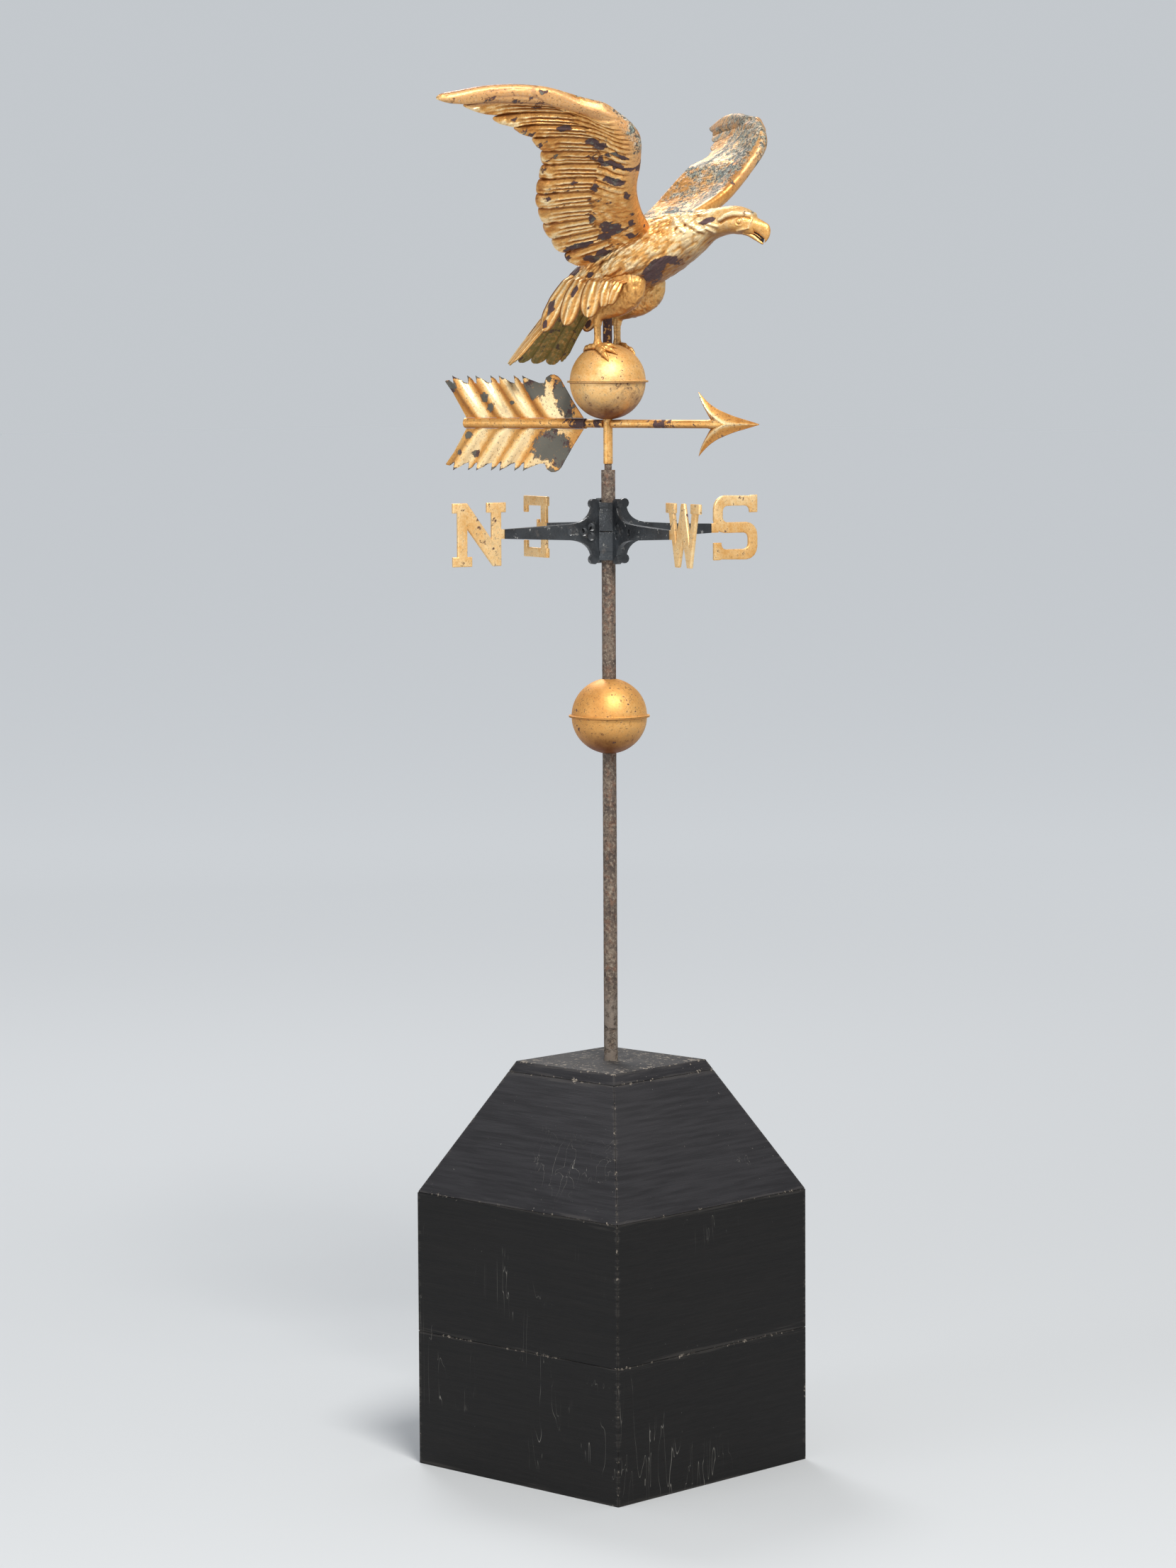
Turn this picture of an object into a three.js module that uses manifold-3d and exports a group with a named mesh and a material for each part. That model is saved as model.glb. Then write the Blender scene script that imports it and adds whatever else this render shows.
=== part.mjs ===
import * as THREE from 'three';
import Module from 'manifold-3d';
import { mergeVertices } from 'three/addons/utils/BufferGeometryUtils.js';
import { ConvexGeometry } from 'three/addons/geometries/ConvexGeometry.js';

const wasm = await Module();
wasm.setup();
const { Manifold } = wasm;

// Frame: millimetres, +Z up, origin at the bottom centre of the box, box sides along X and Y.

// Fits shared by every piece
const seatGap = 0.3;
const cutOverrun = 2;
const weldTolerance = 0.0005;

// Display base
const baseSide = 400;
const boxHeight = 401;
const tierSeamHeight = 196.5;
const boardThickness = 19;
const floorBoardThickness = 19;
const capRise = 191.7;
const capTopSide = 194.6;
const capPanelThickness = 12;
const topPlateThickness = 15;

// Mast and the floor flange that holds its foot
const mastDiameter = 20;
const mastWall = 2.8;
const mastTopHeight = 1448.3;
const flangeDiameter = 82;
const flangeThickness = 6;
const flangeHubDiameter = 32;
const flangeHubHeight = 20;
const flangeScrewCircle = 60;
const screwShankDiameter = 4.5;
const screwHeadDiameter = 9;
const screwHeadHeight = 2.4;
const screwDepth = 14;

// Spindle, its bush in the mast and the vane's bearing
const spindleDiameter = 10.5;
const spindlePointLength = 9;
const topBushLength = 48;
const spindleShow = 8.7;
const vaneTubeDiameter = 13.4;
const vaneTubeWall = 1.1;
const vaneTubeHeadroom = 8;
const bearingCupDepth = 6;
const bearingDepthInBody = 84;

// Directionals
const directionalDrop = 87.8;
const compassHeading = 74;
const collarAcross = 30;
const collarHeight = 83;
const collarStripWidth = 20.5;
const collarSplitGap = 1.2;
const collarLipHeight = 7;
const collarLipRelief = 1.2;
const collarGrooveHeight = 6;
const armThickness = 7.5;
const armReach = 172;
const armTipHeight = 13.5;
const armWaistHeight = 23;
const armWaistRadius = 65;
const armLobeRadius = 7;
const armLobeOffset = 40;
const armLobePlace = 25.5;
const armEyeDiameter = 9.3;
const armEyePlace = 64.7;
const trefoilHoleDiameter = 11.4;
const trefoilOuterPlace = 42.7;
const trefoilInnerPlace = 30.3;
const trefoilHalfSpread = 6.9;
const setScrewDiameter = 6;
const setScrewHeadAcross = 8;
const setScrewHeadHeight = 5;

// Letters
const letterHeight = 90;
const letterOvershoot = 2.2;
const letterThickness = 5.4;
const letterBevel = 1.1;
const letterStroke = 15.5;
const letterSerifHeight = 14;
const letterPadLength = 5;
const letterWidthN = 86;
const letterWidthE = 70;
const letterWidthS = 75;
const letterWidthW = 91;

// Globes
const globeDiameter = 109;
const globeWall = 1.2;
const globeFlangeWidth = 4;
const globeFlangeThickness = 1.2;
const lowerGlobeDrop = 354.3;

// Arrow
const arrowDrop = 57.5;
const arrowShaftDiameter = 12;
const arrowSleeveDiameter = 15;
const arrowTailLength = 240.5;
const arrowSleeveFront = 36;
const arrowTipLength = 246;
const arrowNeckLength = 168.8;
const arrowSocketDepth = 12;
const arrowHeadSpread = 91;
const arrowHeadDepth = 15.4;
const arrowHeadEdge = 1.6;
const fletchingHeight = 69;
const fletchingThickness = 1.1;
const fletchingFoldDepth = 3.4;
const vaneHeading = 13.5;

// Eagle
const eagleLength = 432;
const copperWall = 1.3;
const wingSkinThickness = 0.9;
const wingHalfDepth = 8.8;
const wingCamber = 11;
const leftWingDroop = 17;
const droopStart = 190;
const droopRun = 110;
const featherRelief = 1.3;
const tailSheetThickness = 1.6;
const flankSheetThickness = 1.6;
const shankDiameter = 11;
const toeDiameter = 9.5;
const clawDiameter = 2.4;
const toeLength = 34;
const backToeLength = 31;
const legSpread = 28;
const eyeDiameter = 6.6;
const browDiameter = 6;

// Places that follow from the sizes above
const lowerTierTop = tierSeamHeight - seatGap / 2;
const upperTierFoot = tierSeamHeight + seatGap / 2;
const capFoot = boxHeight + seatGap;
const capTop = boxHeight + capRise;
const mastRadius = mastDiameter / 2;
const mastBoreRadius = mastRadius - mastWall;
const mastFoot = floorBoardThickness + seatGap + flangeThickness;
const spindleRadius = spindleDiameter / 2;
const tubeRadius = vaneTubeDiameter / 2;
const tubeBoreRadius = tubeRadius - vaneTubeWall;
const directionalHeight = mastTopHeight - directionalDrop;
const lowerGlobeHeight = mastTopHeight - lowerGlobeDrop;
const tubeFoot = mastTopHeight + spindleShow;
const arrowAxis = tubeFoot + arrowDrop;
const shaftRadius = arrowShaftDiameter / 2;
const globeRadius = globeDiameter / 2;
const tubeHoleRadius = tubeRadius + seatGap;
const globeSink = Math.sqrt(globeRadius ** 2 - tubeHoleRadius ** 2);
const upperGlobeHeight = arrowAxis + shaftRadius + seatGap + globeSink;
const perchHeight = upperGlobeHeight + globeRadius;
const spindleTip = perchHeight + bearingDepthInBody;
const tubeTop = spindleTip + vaneTubeHeadroom;

// Colours of the finishes
const finishes = {
  wood: { color: 0x1c1b1b, roughness: 0.6, metalness: 0 },
  capWood: { color: 0x343438, roughness: 0.75, metalness: 0 },
  iron: { color: 0x6b5a4e, roughness: 0.85, metalness: 0.4 },
  castIron: { color: 0x2d3034, roughness: 0.5, metalness: 0.3 },
  gilt: { color: 0xc8964b, roughness: 0.4, metalness: 0.7 },
  steel: { color: 0x77787a, roughness: 0.4, metalness: 0.9 },
};

// Joining and cutting of closed shapes
function weld(geometry) {
  const bare = new THREE.BufferGeometry();
  bare.setAttribute('position', geometry.getAttribute('position').clone());
  if (geometry.index) bare.setIndex(geometry.index.clone());
  const merged = mergeVertices(bare, weldTolerance);
  const faces = [];
  for (let i = 0; i < merged.index.count; i += 3) {
    const [a, b, c] = [0, 1, 2].map((k) => merged.index.getX(i + k));
    if (a !== b && b !== c && c !== a) faces.push(a, b, c);
  }
  merged.setIndex(faces);
  return merged;
}

function enclosedVolume(geometry) {
  const places = geometry.getAttribute('position');
  const corner = [0, 1, 2].map(() => new THREE.Vector3());
  let volume = 0;
  for (let i = 0; i < geometry.index.count; i += 3) {
    corner.forEach((point, k) => point.fromBufferAttribute(places, geometry.index.getX(i + k)));
    volume += corner[0].dot(corner[1].cross(corner[2])) / 6;
  }
  return volume;
}

function faceOutwards(geometry) {
  if (enclosedVolume(geometry) > 0) return geometry;
  const order = geometry.index.array;
  for (let i = 0; i < order.length; i += 3) [order[i], order[i + 1]] = [order[i + 1], order[i]];
  return geometry;
}

function solid(geometry) {
  const shape = faceOutwards(weld(geometry));
  const vertProperties = new Float32Array(shape.getAttribute('position').array);
  const triVerts = new Uint32Array(shape.index.array);
  return new Manifold(new wasm.Mesh({ numProp: 3, vertProperties, triVerts }));
}

function surface(body) {
  const mesh = body.getMesh();
  const geometry = new THREE.BufferGeometry();
  geometry.setAttribute('position', new THREE.BufferAttribute(new Float32Array(mesh.vertProperties), 3));
  geometry.setIndex(new THREE.BufferAttribute(new Uint32Array(mesh.triVerts), 1));
  geometry.computeVertexNormals();
  return geometry;
}

function piece(name, shape, finish) {
  const geometry = shape instanceof Manifold ? surface(shape) : shape;
  const mesh = new THREE.Mesh(geometry, new THREE.MeshStandardMaterial(finish));
  mesh.name = name;
  return mesh;
}

// Common forms
function block(sizeX, sizeY, sizeZ, x = 0, y = 0, z = 0) {
  return solid(new THREE.BoxGeometry(sizeX, sizeY, sizeZ).translate(x, y, z));
}

// A round bar along Z from z0 to z1
function bar(radius, z0, z1, sides = 24) {
  const geometry = new THREE.CylinderGeometry(radius, radius, z1 - z0, sides);
  return solid(geometry.rotateX(Math.PI / 2).translate(0, 0, (z0 + z1) / 2));
}

// A turned piece about Z from [radius, height] pairs that close on themselves or on the axis
function turned(profile, sides) {
  const points = profile.map(([radius, height]) => new THREE.Vector2(radius, height));
  const onAxis = profile[0][0] === 0 && profile[profile.length - 1][0] === 0;
  if (!onAxis) points.push(points[0].clone());
  return solid(new THREE.LatheGeometry(points, sides).rotateX(Math.PI / 2));
}

// A closed body through rings that all hold the same number of points
function loft(rings) {
  const count = rings[0].length;
  const places = [];
  rings.forEach((ring) => ring.forEach((point) => places.push(point.x, point.y, point.z)));
  const total = (ring) => ring.reduce((sum, point) => sum.add(point), new THREE.Vector3());
  const middle = (ring) => total(ring).divideScalar(count);
  const ends = [middle(rings[0]), middle(rings[rings.length - 1])];
  ends.forEach((point) => places.push(point.x, point.y, point.z));
  const first = rings.length * count;
  const faces = [];
  for (let i = 0; i < count; i += 1) {
    const next = (i + 1) % count;
    faces.push(first, next, i);
    const top = (rings.length - 1) * count;
    faces.push(first + 1, top + i, top + next);
    for (let row = 0; row + 1 < rings.length; row += 1) {
      const low = row * count;
      const high = low + count;
      faces.push(low + i, low + next, high + next, low + i, high + next, high + i);
    }
  }
  const geometry = new THREE.BufferGeometry();
  geometry.setAttribute('position', new THREE.Float32BufferAttribute(places, 3));
  geometry.setIndex(faces);
  return geometry;
}

// A tapered round limb through places with a radius at each
function limb(places, radii, sides) {
  const curve = new THREE.CatmullRomCurve3(places, false, 'centripetal');
  const steps = radii.length - 1;
  const frames = curve.computeFrenetFrames(steps);
  const rings = radii.map((radius, i) => {
    const centre = curve.getPointAt(i / steps);
    return Array.from({ length: sides }, (_, k) => {
      const turn = (2 * Math.PI * k) / sides;
      return centre.clone()
        .addScaledVector(frames.normals[i], radius * Math.cos(turn))
        .addScaledVector(frames.binormals[i], radius * Math.sin(turn));
    });
  });
  return solid(loft(rings));
}

// A closed sheet between two grids of points, front[row][column] and back[row][column]
function sheet(front, back) {
  const rows = front.length;
  const columns = front[0].length;
  const places = [];
  [front, back].forEach((side) => side.forEach((row) => row.forEach((p) => places.push(p.x, p.y, p.z))));
  const at = (side, row, column) => side * rows * columns + row * columns + column;
  const faces = [];
  for (let row = 0; row + 1 < rows; row += 1) {
    for (let column = 0; column + 1 < columns; column += 1) {
      const corners = [[row, column], [row, column + 1], [row + 1, column + 1], [row + 1, column]];
      const square = (side) => corners.map(([r, c]) => at(side, r, c));
      const [a, b, c, d] = square(0);
      faces.push(a, b, c, a, c, d);
      const [e, f, g, h] = square(1);
      faces.push(e, g, f, e, h, g);
    }
  }
  const rim = [];
  for (let column = 0; column + 1 < columns; column += 1) rim.push([0, column]);
  for (let row = 0; row + 1 < rows; row += 1) rim.push([row, columns - 1]);
  for (let column = columns - 1; column > 0; column -= 1) rim.push([rows - 1, column]);
  for (let row = rows - 1; row > 0; row -= 1) rim.push([row, 0]);
  rim.forEach(([row, column], i) => {
    const [nextRow, nextColumn] = rim[(i + 1) % rim.length];
    const [a, b] = [at(0, row, column), at(0, nextRow, nextColumn)];
    const [c, d] = [at(1, row, column), at(1, nextRow, nextColumn)];
    faces.push(a, c, d, a, d, b);
  });
  const geometry = new THREE.BufferGeometry();
  geometry.setAttribute('position', new THREE.Float32BufferAttribute(places, 3));
  geometry.setIndex(faces);
  return solid(geometry);
}

// The unit normal of a surface pointAt(a, b), from small steps in shares of its two directions
function normalAt(pointAt, a, b) {
  const stepShare = 0.01;
  const clampShare = (share) => Math.min(1, Math.max(0, share));
  const alongA = pointAt(clampShare(a + stepShare), b).sub(pointAt(clampShare(a - stepShare), b));
  const alongB = pointAt(a, clampShare(b + stepShare)).sub(pointAt(a, clampShare(b - stepShare)));
  return alongA.cross(alongB).normalize();
}

function mirrored(body) {
  return solid(surface(body).scale(1, -1, 1));
}

// Display base

// One mitred board of a square frame, on the +Y side, then turned by quarter turns
function frameBoard(z0, z1, quarter) {
  const half = baseSide / 2;
  const inner = half - boardThickness;
  const relief = seatGap / 2;
  const outline = [
    [-half + relief, half], [half - relief, half], [inner - relief, inner], [-inner + relief, inner],
  ];
  const points = outline.flatMap(([x, y]) => [new THREE.Vector3(x, y, z0), new THREE.Vector3(x, y, z1)]);
  return solid(new ConvexGeometry(points).rotateZ((quarter * Math.PI) / 2));
}

function capSideAt(z) {
  return baseSide + ((capTopSide - baseSide) * (z - boxHeight)) / capRise;
}

const capPanelTop = capTop - topPlateThickness - seatGap;
const capSlope = Math.atan2((baseSide - capTopSide) / 2, capRise);
const capPanelInset = capPanelThickness / Math.cos(capSlope);

function capPanel(quarter) {
  const relief = seatGap / 2;
  const points = [capFoot, capPanelTop].flatMap((z) => {
    const outer = capSideAt(z) / 2;
    const inner = outer - capPanelInset;
    return [
      [-outer + relief, outer], [outer - relief, outer], [inner - relief, inner], [-inner + relief, inner],
    ].map(([x, y]) => new THREE.Vector3(x, y, z));
  });
  return solid(new ConvexGeometry(points).rotateZ((quarter * Math.PI) / 2));
}

function capTopPlate() {
  const foot = capTop - topPlateThickness;
  const points = [foot, capTop].flatMap((z) => {
    const half = capSideAt(z) / 2;
    const corners = [[-half, half], [half, half], [half, -half], [-half, -half]];
    return corners.map(([x, y]) => new THREE.Vector3(x, y, z));
  });
  const hole = bar(mastRadius + seatGap, foot - cutOverrun, capTop + cutOverrun);
  return solid(new ConvexGeometry(points)).subtract(hole);
}

function floorBoard() {
  const side = baseSide - 2 * boardThickness - 2 * seatGap;
  let board = block(side, side, floorBoardThickness, 0, 0, floorBoardThickness / 2);
  screwPlaces().forEach(([x, y]) => {
    const hole = bar(screwShankDiameter / 2 + seatGap / 2, floorBoardThickness - screwDepth - seatGap,
      floorBoardThickness + cutOverrun, 8).translate([x, y, 0]);
    board = board.subtract(hole);
  });
  return board;
}

function displayBase() {
  const group = new THREE.Group();
  group.add(piece('base_floor_board', floorBoard(), finishes.wood));
  for (let i = 0; i < 4; i += 1) {
    group.add(piece(`box_lower_board_${i + 1}`, frameBoard(0, lowerTierTop, i), finishes.wood));
    group.add(piece(`box_upper_board_${i + 1}`, frameBoard(upperTierFoot, boxHeight, i), finishes.wood));
    group.add(piece(`cap_panel_${i + 1}`, capPanel(i), finishes.capWood));
  }
  group.add(piece('cap_top_plate', capTopPlate(), finishes.capWood));
  return group;
}

// Mast

function screwPlaces() {
  const reach = flangeScrewCircle / 2;
  return [45, 135, 225, 315].map((degrees) => {
    const turn = THREE.MathUtils.degToRad(degrees);
    return [reach * Math.cos(turn), reach * Math.sin(turn)];
  });
}

function floorFlange() {
  const foot = floorBoardThickness + seatGap;
  const bore = mastRadius + seatGap;
  const ledge = flangeThickness;
  const profile = [
    [mastBoreRadius, foot], [flangeDiameter / 2, foot], [flangeDiameter / 2, foot + ledge],
    [flangeHubDiameter / 2, foot + ledge], [flangeHubDiameter / 2, foot + flangeHubHeight],
    [bore, foot + flangeHubHeight], [bore, foot + ledge - seatGap], [mastBoreRadius, foot + ledge - seatGap],
  ];
  let flange = turned(profile, 24);
  screwPlaces().forEach(([x, y]) => {
    const hole = bar(screwShankDiameter / 2 + seatGap, foot - cutOverrun, foot + ledge + cutOverrun, 8);
    flange = flange.subtract(hole.translate([x, y, 0]));
  });
  return flange;
}

function flangeScrew([x, y]) {
  const seat = floorBoardThickness + 2 * seatGap + flangeThickness;
  const shank = (screwShankDiameter - seatGap) / 2;
  const profile = [
    [0, floorBoardThickness - screwDepth], [shank, floorBoardThickness - screwDepth / 2],
    [shank, seat], [screwHeadDiameter / 2, seat],
    [screwHeadDiameter / 3, seat + screwHeadHeight], [0, seat + screwHeadHeight],
  ];
  return turned(profile, 8).translate([x, y, 0]);
}

function mastPipe() {
  return turned([
    [mastBoreRadius, mastFoot], [mastRadius, mastFoot],
    [mastRadius, mastTopHeight], [mastBoreRadius, mastTopHeight],
  ], 24);
}

function topBush() {
  const outer = mastBoreRadius - seatGap;
  const inner = spindleRadius + seatGap;
  const foot = mastTopHeight - topBushLength;
  return turned([
    [0, foot], [outer, foot], [outer, mastTopHeight], [inner, mastTopHeight],
    [inner, foot + spindleRadius], [0, foot + spindleRadius],
  ], 24);
}

function spindleRod() {
  const foot = mastTopHeight - topBushLength + spindleRadius + seatGap;
  return turned([
    [0, foot], [spindleRadius, foot], [spindleRadius, spindleTip - spindlePointLength], [0, spindleTip],
  ], 24);
}

function mast() {
  const group = new THREE.Group();
  group.add(piece('mast_floor_flange', floorFlange(), finishes.castIron));
  screwPlaces().forEach((place, i) => {
    group.add(piece(`flange_screw_${i + 1}`, flangeScrew(place), finishes.steel));
  });
  group.add(piece('mast_pipe', mastPipe(), finishes.iron));
  group.add(piece('mast_top_bush', topBush(), finishes.iron));
  group.add(piece('spindle_rod', spindleRod(), finishes.steel));
  return group;
}

// Globes

// One half of a spun globe about its own centre, with its seam flange and pole hole
function globeHalf(holeRadius, upper) {
  const rings = 5;
  const innerRings = 3;
  const inner = globeRadius - globeWall;
  const seam = seatGap / 2;
  const arc = (radius, count) => {
    const from = Math.asin(seam / radius);
    const to = Math.acos(holeRadius / radius);
    return Array.from({ length: count + 1 }, (_, i) => {
      const turn = from + ((to - from) * i) / count;
      return [radius * Math.cos(turn), radius * Math.sin(turn)];
    });
  };
  const outerArc = arc(globeRadius, rings).slice(1);
  const flangeEdge = globeRadius + globeFlangeWidth;
  const flangeTop = seam + globeFlangeThickness;
  const rootRadius = Math.sqrt(globeRadius ** 2 - flangeTop ** 2);
  const profile = [
    [flangeEdge, seam], [flangeEdge, flangeTop], [rootRadius, flangeTop], ...outerArc,
    ...arc(inner, innerRings).reverse(),
  ];
  const half = turned(profile, 24);
  return upper ? half : solid(surface(half).scale(1, 1, -1));
}

function globe(prefix, holeRadius, height) {
  const group = new THREE.Group();
  group.add(piece(`${prefix}_top_half`, globeHalf(holeRadius, true), finishes.gilt));
  group.add(piece(`${prefix}_bottom_half`, globeHalf(holeRadius, false), finishes.gilt));
  group.position.z = height;
  return group;
}

// Directionals

// The collar's outline is a square with its corners cut where the arms stand
function collarOutline(halfAcross) {
  const strip = collarStripWidth / 2;
  const corners = [[halfAcross, strip], [strip, halfAcross]];
  const shape = [];
  for (let quarter = 0; quarter < 4; quarter += 1) {
    const turn = (quarter * Math.PI) / 2 + Math.PI / 4;
    corners.forEach(([x, y]) => shape.push(new THREE.Vector2(x, y).rotateAround(new THREE.Vector2(), turn)));
  }
  return new THREE.Shape(shape);
}

function collarSlab(halfAcross, z0, z1) {
  const options = { depth: z1 - z0, bevelEnabled: false };
  return solid(new THREE.ExtrudeGeometry(collarOutline(halfAcross), options).translate(0, 0, z0));
}

const collarHalf = collarAcross / 2;
const collarCornerRadius = (collarHalf + collarStripWidth / 2) / Math.SQRT2;

// A collar about the hub's own centre: the body, a groove and a lip at its free end
function collar(upper) {
  const end = collarHeight / 2;
  const lipFoot = end - collarLipHeight;
  const grooveFoot = lipFoot - collarGrooveHeight;
  const waist = collarHalf - collarLipRelief;
  const bore = bar(mastRadius + seatGap, 0, end + cutOverrun);
  const screwBore = bar(setScrewDiameter / 2 + seatGap, mastRadius - cutOverrun, collarAcross, 12)
    .rotate([0, 90, 0]).rotate([0, 0, 45]).translate([0, 0, end / 2]);
  const half = collarSlab(collarHalf, collarSplitGap / 2, grooveFoot)
    .add(collarSlab(waist, grooveFoot, lipFoot))
    .add(collarSlab(collarHalf, lipFoot, end))
    .subtract(bore)
    .subtract(screwBore);
  return upper ? half : solid(surface(half).scale(1, 1, -1));
}

function setScrew(side) {
  const headMiddle = collarHalf + seatGap + setScrewHeadHeight / 2;
  const shank = bar(setScrewDiameter / 2, mastRadius + seatGap, headMiddle, 12);
  const head = block(setScrewHeadAcross, setScrewHeadAcross, setScrewHeadHeight, 0, 0, headMiddle);
  return shank.add(head).rotate([0, 90, 0]).rotate([0, 0, 45]).translate([0, 0, (side * collarHeight) / 4]);
}

// Where the lobe's flat top and neck lie, in shares of its radius, and the bend of the sweep behind the neck,
// in shares of the waist's place and height
const lobeTopShare = 0.7;
const lobeNeckShares = [0.45, -0.9];
const lobeTurnShares = [0.75, -0.35];
const sweepBendShares = [0.52, 0.58];
const armSlackShare = 0.9;

// The arm's outline in its own plane, X outwards from the mast's axis and Y up
function armOutline() {
  const root = collarCornerRadius + seatGap;
  const neck = new THREE.Vector2(...lobeNeckShares).multiplyScalar(armLobeRadius);
  neck.add(new THREE.Vector2(armLobePlace, armLobeOffset));
  const waist = new THREE.Vector2(armWaistRadius, armWaistHeight);
  const shape = new THREE.Shape();
  const half = (sign) => {
    const upper = sign > 0;
    const topLine = [[root, sign * (armLobeOffset + armLobeRadius * lobeTopShare)]];
    const lobe = new THREE.Path();
    const [turnFrom, turnTo] = lobeTurnShares.map((share) => share * Math.PI);
    lobe.absarc(armLobePlace, armLobeOffset, armLobeRadius, turnFrom, turnTo, true);
    const lobePoints = lobe.getPoints(3).map((p) => [p.x, sign * p.y]);
    const bend = waist.clone().multiply(new THREE.Vector2(...sweepBendShares));
    const sweep = new THREE.QuadraticBezierCurve(neck, bend, new THREE.Vector2(waist.x, waist.y / 2));
    const sweepPoints = sweep.getPoints(7).slice(1).map((p) => [p.x, sign * p.y]);
    const middleRadius = (armWaistRadius + armReach) / 2;
    const middleHeight = ((armTipHeight + armWaistHeight) / 2) * armSlackShare;
    const line = [
      ...topLine, ...lobePoints, ...sweepPoints,
      [middleRadius, (sign * middleHeight) / 2],
      [armReach, (sign * armTipHeight) / 2],
    ];
    return upper ? line : line.reverse();
  };
  shape.setFromPoints([...half(1), ...half(-1)].reverse().map(([x, y]) => new THREE.Vector2(x, y)));
  const eyes = [
    [armEyePlace, 0, armEyeDiameter], [trefoilOuterPlace, 0, trefoilHoleDiameter],
    [trefoilInnerPlace, trefoilHalfSpread, trefoilHoleDiameter],
    [trefoilInnerPlace, -trefoilHalfSpread, trefoilHoleDiameter],
  ];
  eyes.forEach(([x, y, diameter]) => {
    const eye = new THREE.Path();
    eye.absarc(x, y, diameter / 2, 0, 2 * Math.PI, true);
    shape.holes.push(eye);
  });
  return shape;
}

function arm() {
  const options = { depth: armThickness, bevelEnabled: false, curveSegments: 8 };
  const geometry = new THREE.ExtrudeGeometry(armOutline(), options);
  return geometry.translate(0, 0, -armThickness / 2).rotateX(Math.PI / 2);
}

// Letter outlines: X runs from the stem's face at the arm, Y is up, middle of the height at zero
const letterHalf = letterHeight / 2;
const serifFoot = letterHalf - letterSerifHeight;

// Shares of the stroke for widths, of the letter's height for drops, and of a W's own width
const shortSerifShare = 0.5;
const diagonalShares = { top: 0.08, foot: 0.1, toe: 0.85 };

function letterN() {
  const width = letterWidthN;
  const serif = letterStroke * shortSerifShare;
  const rightStem = width - serif - letterStroke;
  const leftStem = serif + letterStroke;
  const face = rightStem + letterStroke;
  const diagonalEnd = letterHeight * diagonalShares.top;
  const diagonalStart = letterHeight * diagonalShares.foot;
  const outline = [
    [0, letterHalf], [leftStem, letterHalf], [rightStem, -diagonalEnd], [rightStem, serifFoot],
    [rightStem - serif, serifFoot], [rightStem - serif, letterHalf], [width, letterHalf], [width, serifFoot],
    [face, serifFoot], [face, -letterHalf], [face - letterStroke * diagonalShares.toe, -letterHalf],
    [leftStem, diagonalStart], [leftStem, -serifFoot], [leftStem + serif, -serifFoot],
    [leftStem + serif, -letterHalf], [0, -letterHalf], [0, -serifFoot], [serif, -serifFoot],
    [serif, serifFoot], [0, serifFoot],
  ];
  return outline.map(([x, y]) => [face - x, y]);
}

const barShares = {
  serif: 0.22, tab: 0.6, tabDrop: 0.27, stub: 0.8, stubHalf: 0.8, stubBar: 0.45, stubNeck: 0.3,
};

function letterE() {
  const width = letterWidthE;
  const serif = letterStroke * barShares.serif;
  const stem = serif + letterStroke;
  const tab = letterStroke * barShares.tab;
  const tabFoot = letterHalf - letterHeight * barShares.tabDrop;
  const stubReach = stem + letterStroke * barShares.stub;
  const stubNeck = stubReach - letterStroke * barShares.stubNeck;
  const stubHalf = letterSerifHeight * barShares.stubHalf;
  const stubBar = letterStroke * barShares.stubBar;
  const upper = [
    [serif, serifFoot], [0, serifFoot], [0, letterHalf],
    [width, letterHalf], [width, tabFoot], [width - tab, tabFoot],
    [width - tab, serifFoot], [stem, serifFoot], [stem, stubBar],
    [stubNeck, stubBar], [stubNeck, stubHalf], [stubReach, stubHalf],
  ];
  const lower = upper.map(([x, y]) => [x, -y]).reverse();
  return [...upper, ...lower].map(([x, y]) => [x - serif, y]);
}

function roundCorner(cx, cy, radius, from, to, steps) {
  return Array.from({ length: steps + 1 }, (_, i) => {
    const turn = THREE.MathUtils.degToRad(from + ((to - from) * i) / steps);
    return [cx + radius * Math.cos(turn), cy + radius * Math.sin(turn)];
  });
}

const curveShares = { outer: 1.25, inner: 0.5, tab: 0.85, tabBevel: 0.8, tabDrop: 0.285 };

function letterS() {
  const width = letterWidthS;
  const top = letterHalf + letterOvershoot;
  const middle = letterStroke / 2;
  const outer = letterStroke * curveShares.outer;
  const inner = letterStroke * curveShares.inner;
  const tab = letterStroke * curveShares.tab;
  const tabFoot = top - letterHeight * curveShares.tabDrop;
  const half = [
    ...roundCorner(outer, top - outer, outer, 180, 90, 4),
    [width - tab, top - letterBevel], [width - tab * curveShares.tabBevel, top], [width, top],
    [width, tabFoot], [width - tab, tabFoot],
    ...roundCorner(width - tab - inner, top - letterStroke - inner, inner, 0, 90, 3),
    ...roundCorner(letterStroke + inner, top - letterStroke - inner, inner, 90, 180, 3),
    ...roundCorner(letterStroke + inner, middle + inner, inner, 180, 270, 3),
    ...roundCorner(width - outer, middle - outer, outer, 90, 0, 4),
  ];
  return [...half, ...half.map(([x, y]) => [width - x, -y])];
}

const slantShares = {
  serif: 0.27, top: 0.09, topInner: 0.235, foot: 0.27, footInner: 0.38,
  peak: 0.045, valley: 0.12, crotch: 0.048,
};

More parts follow.
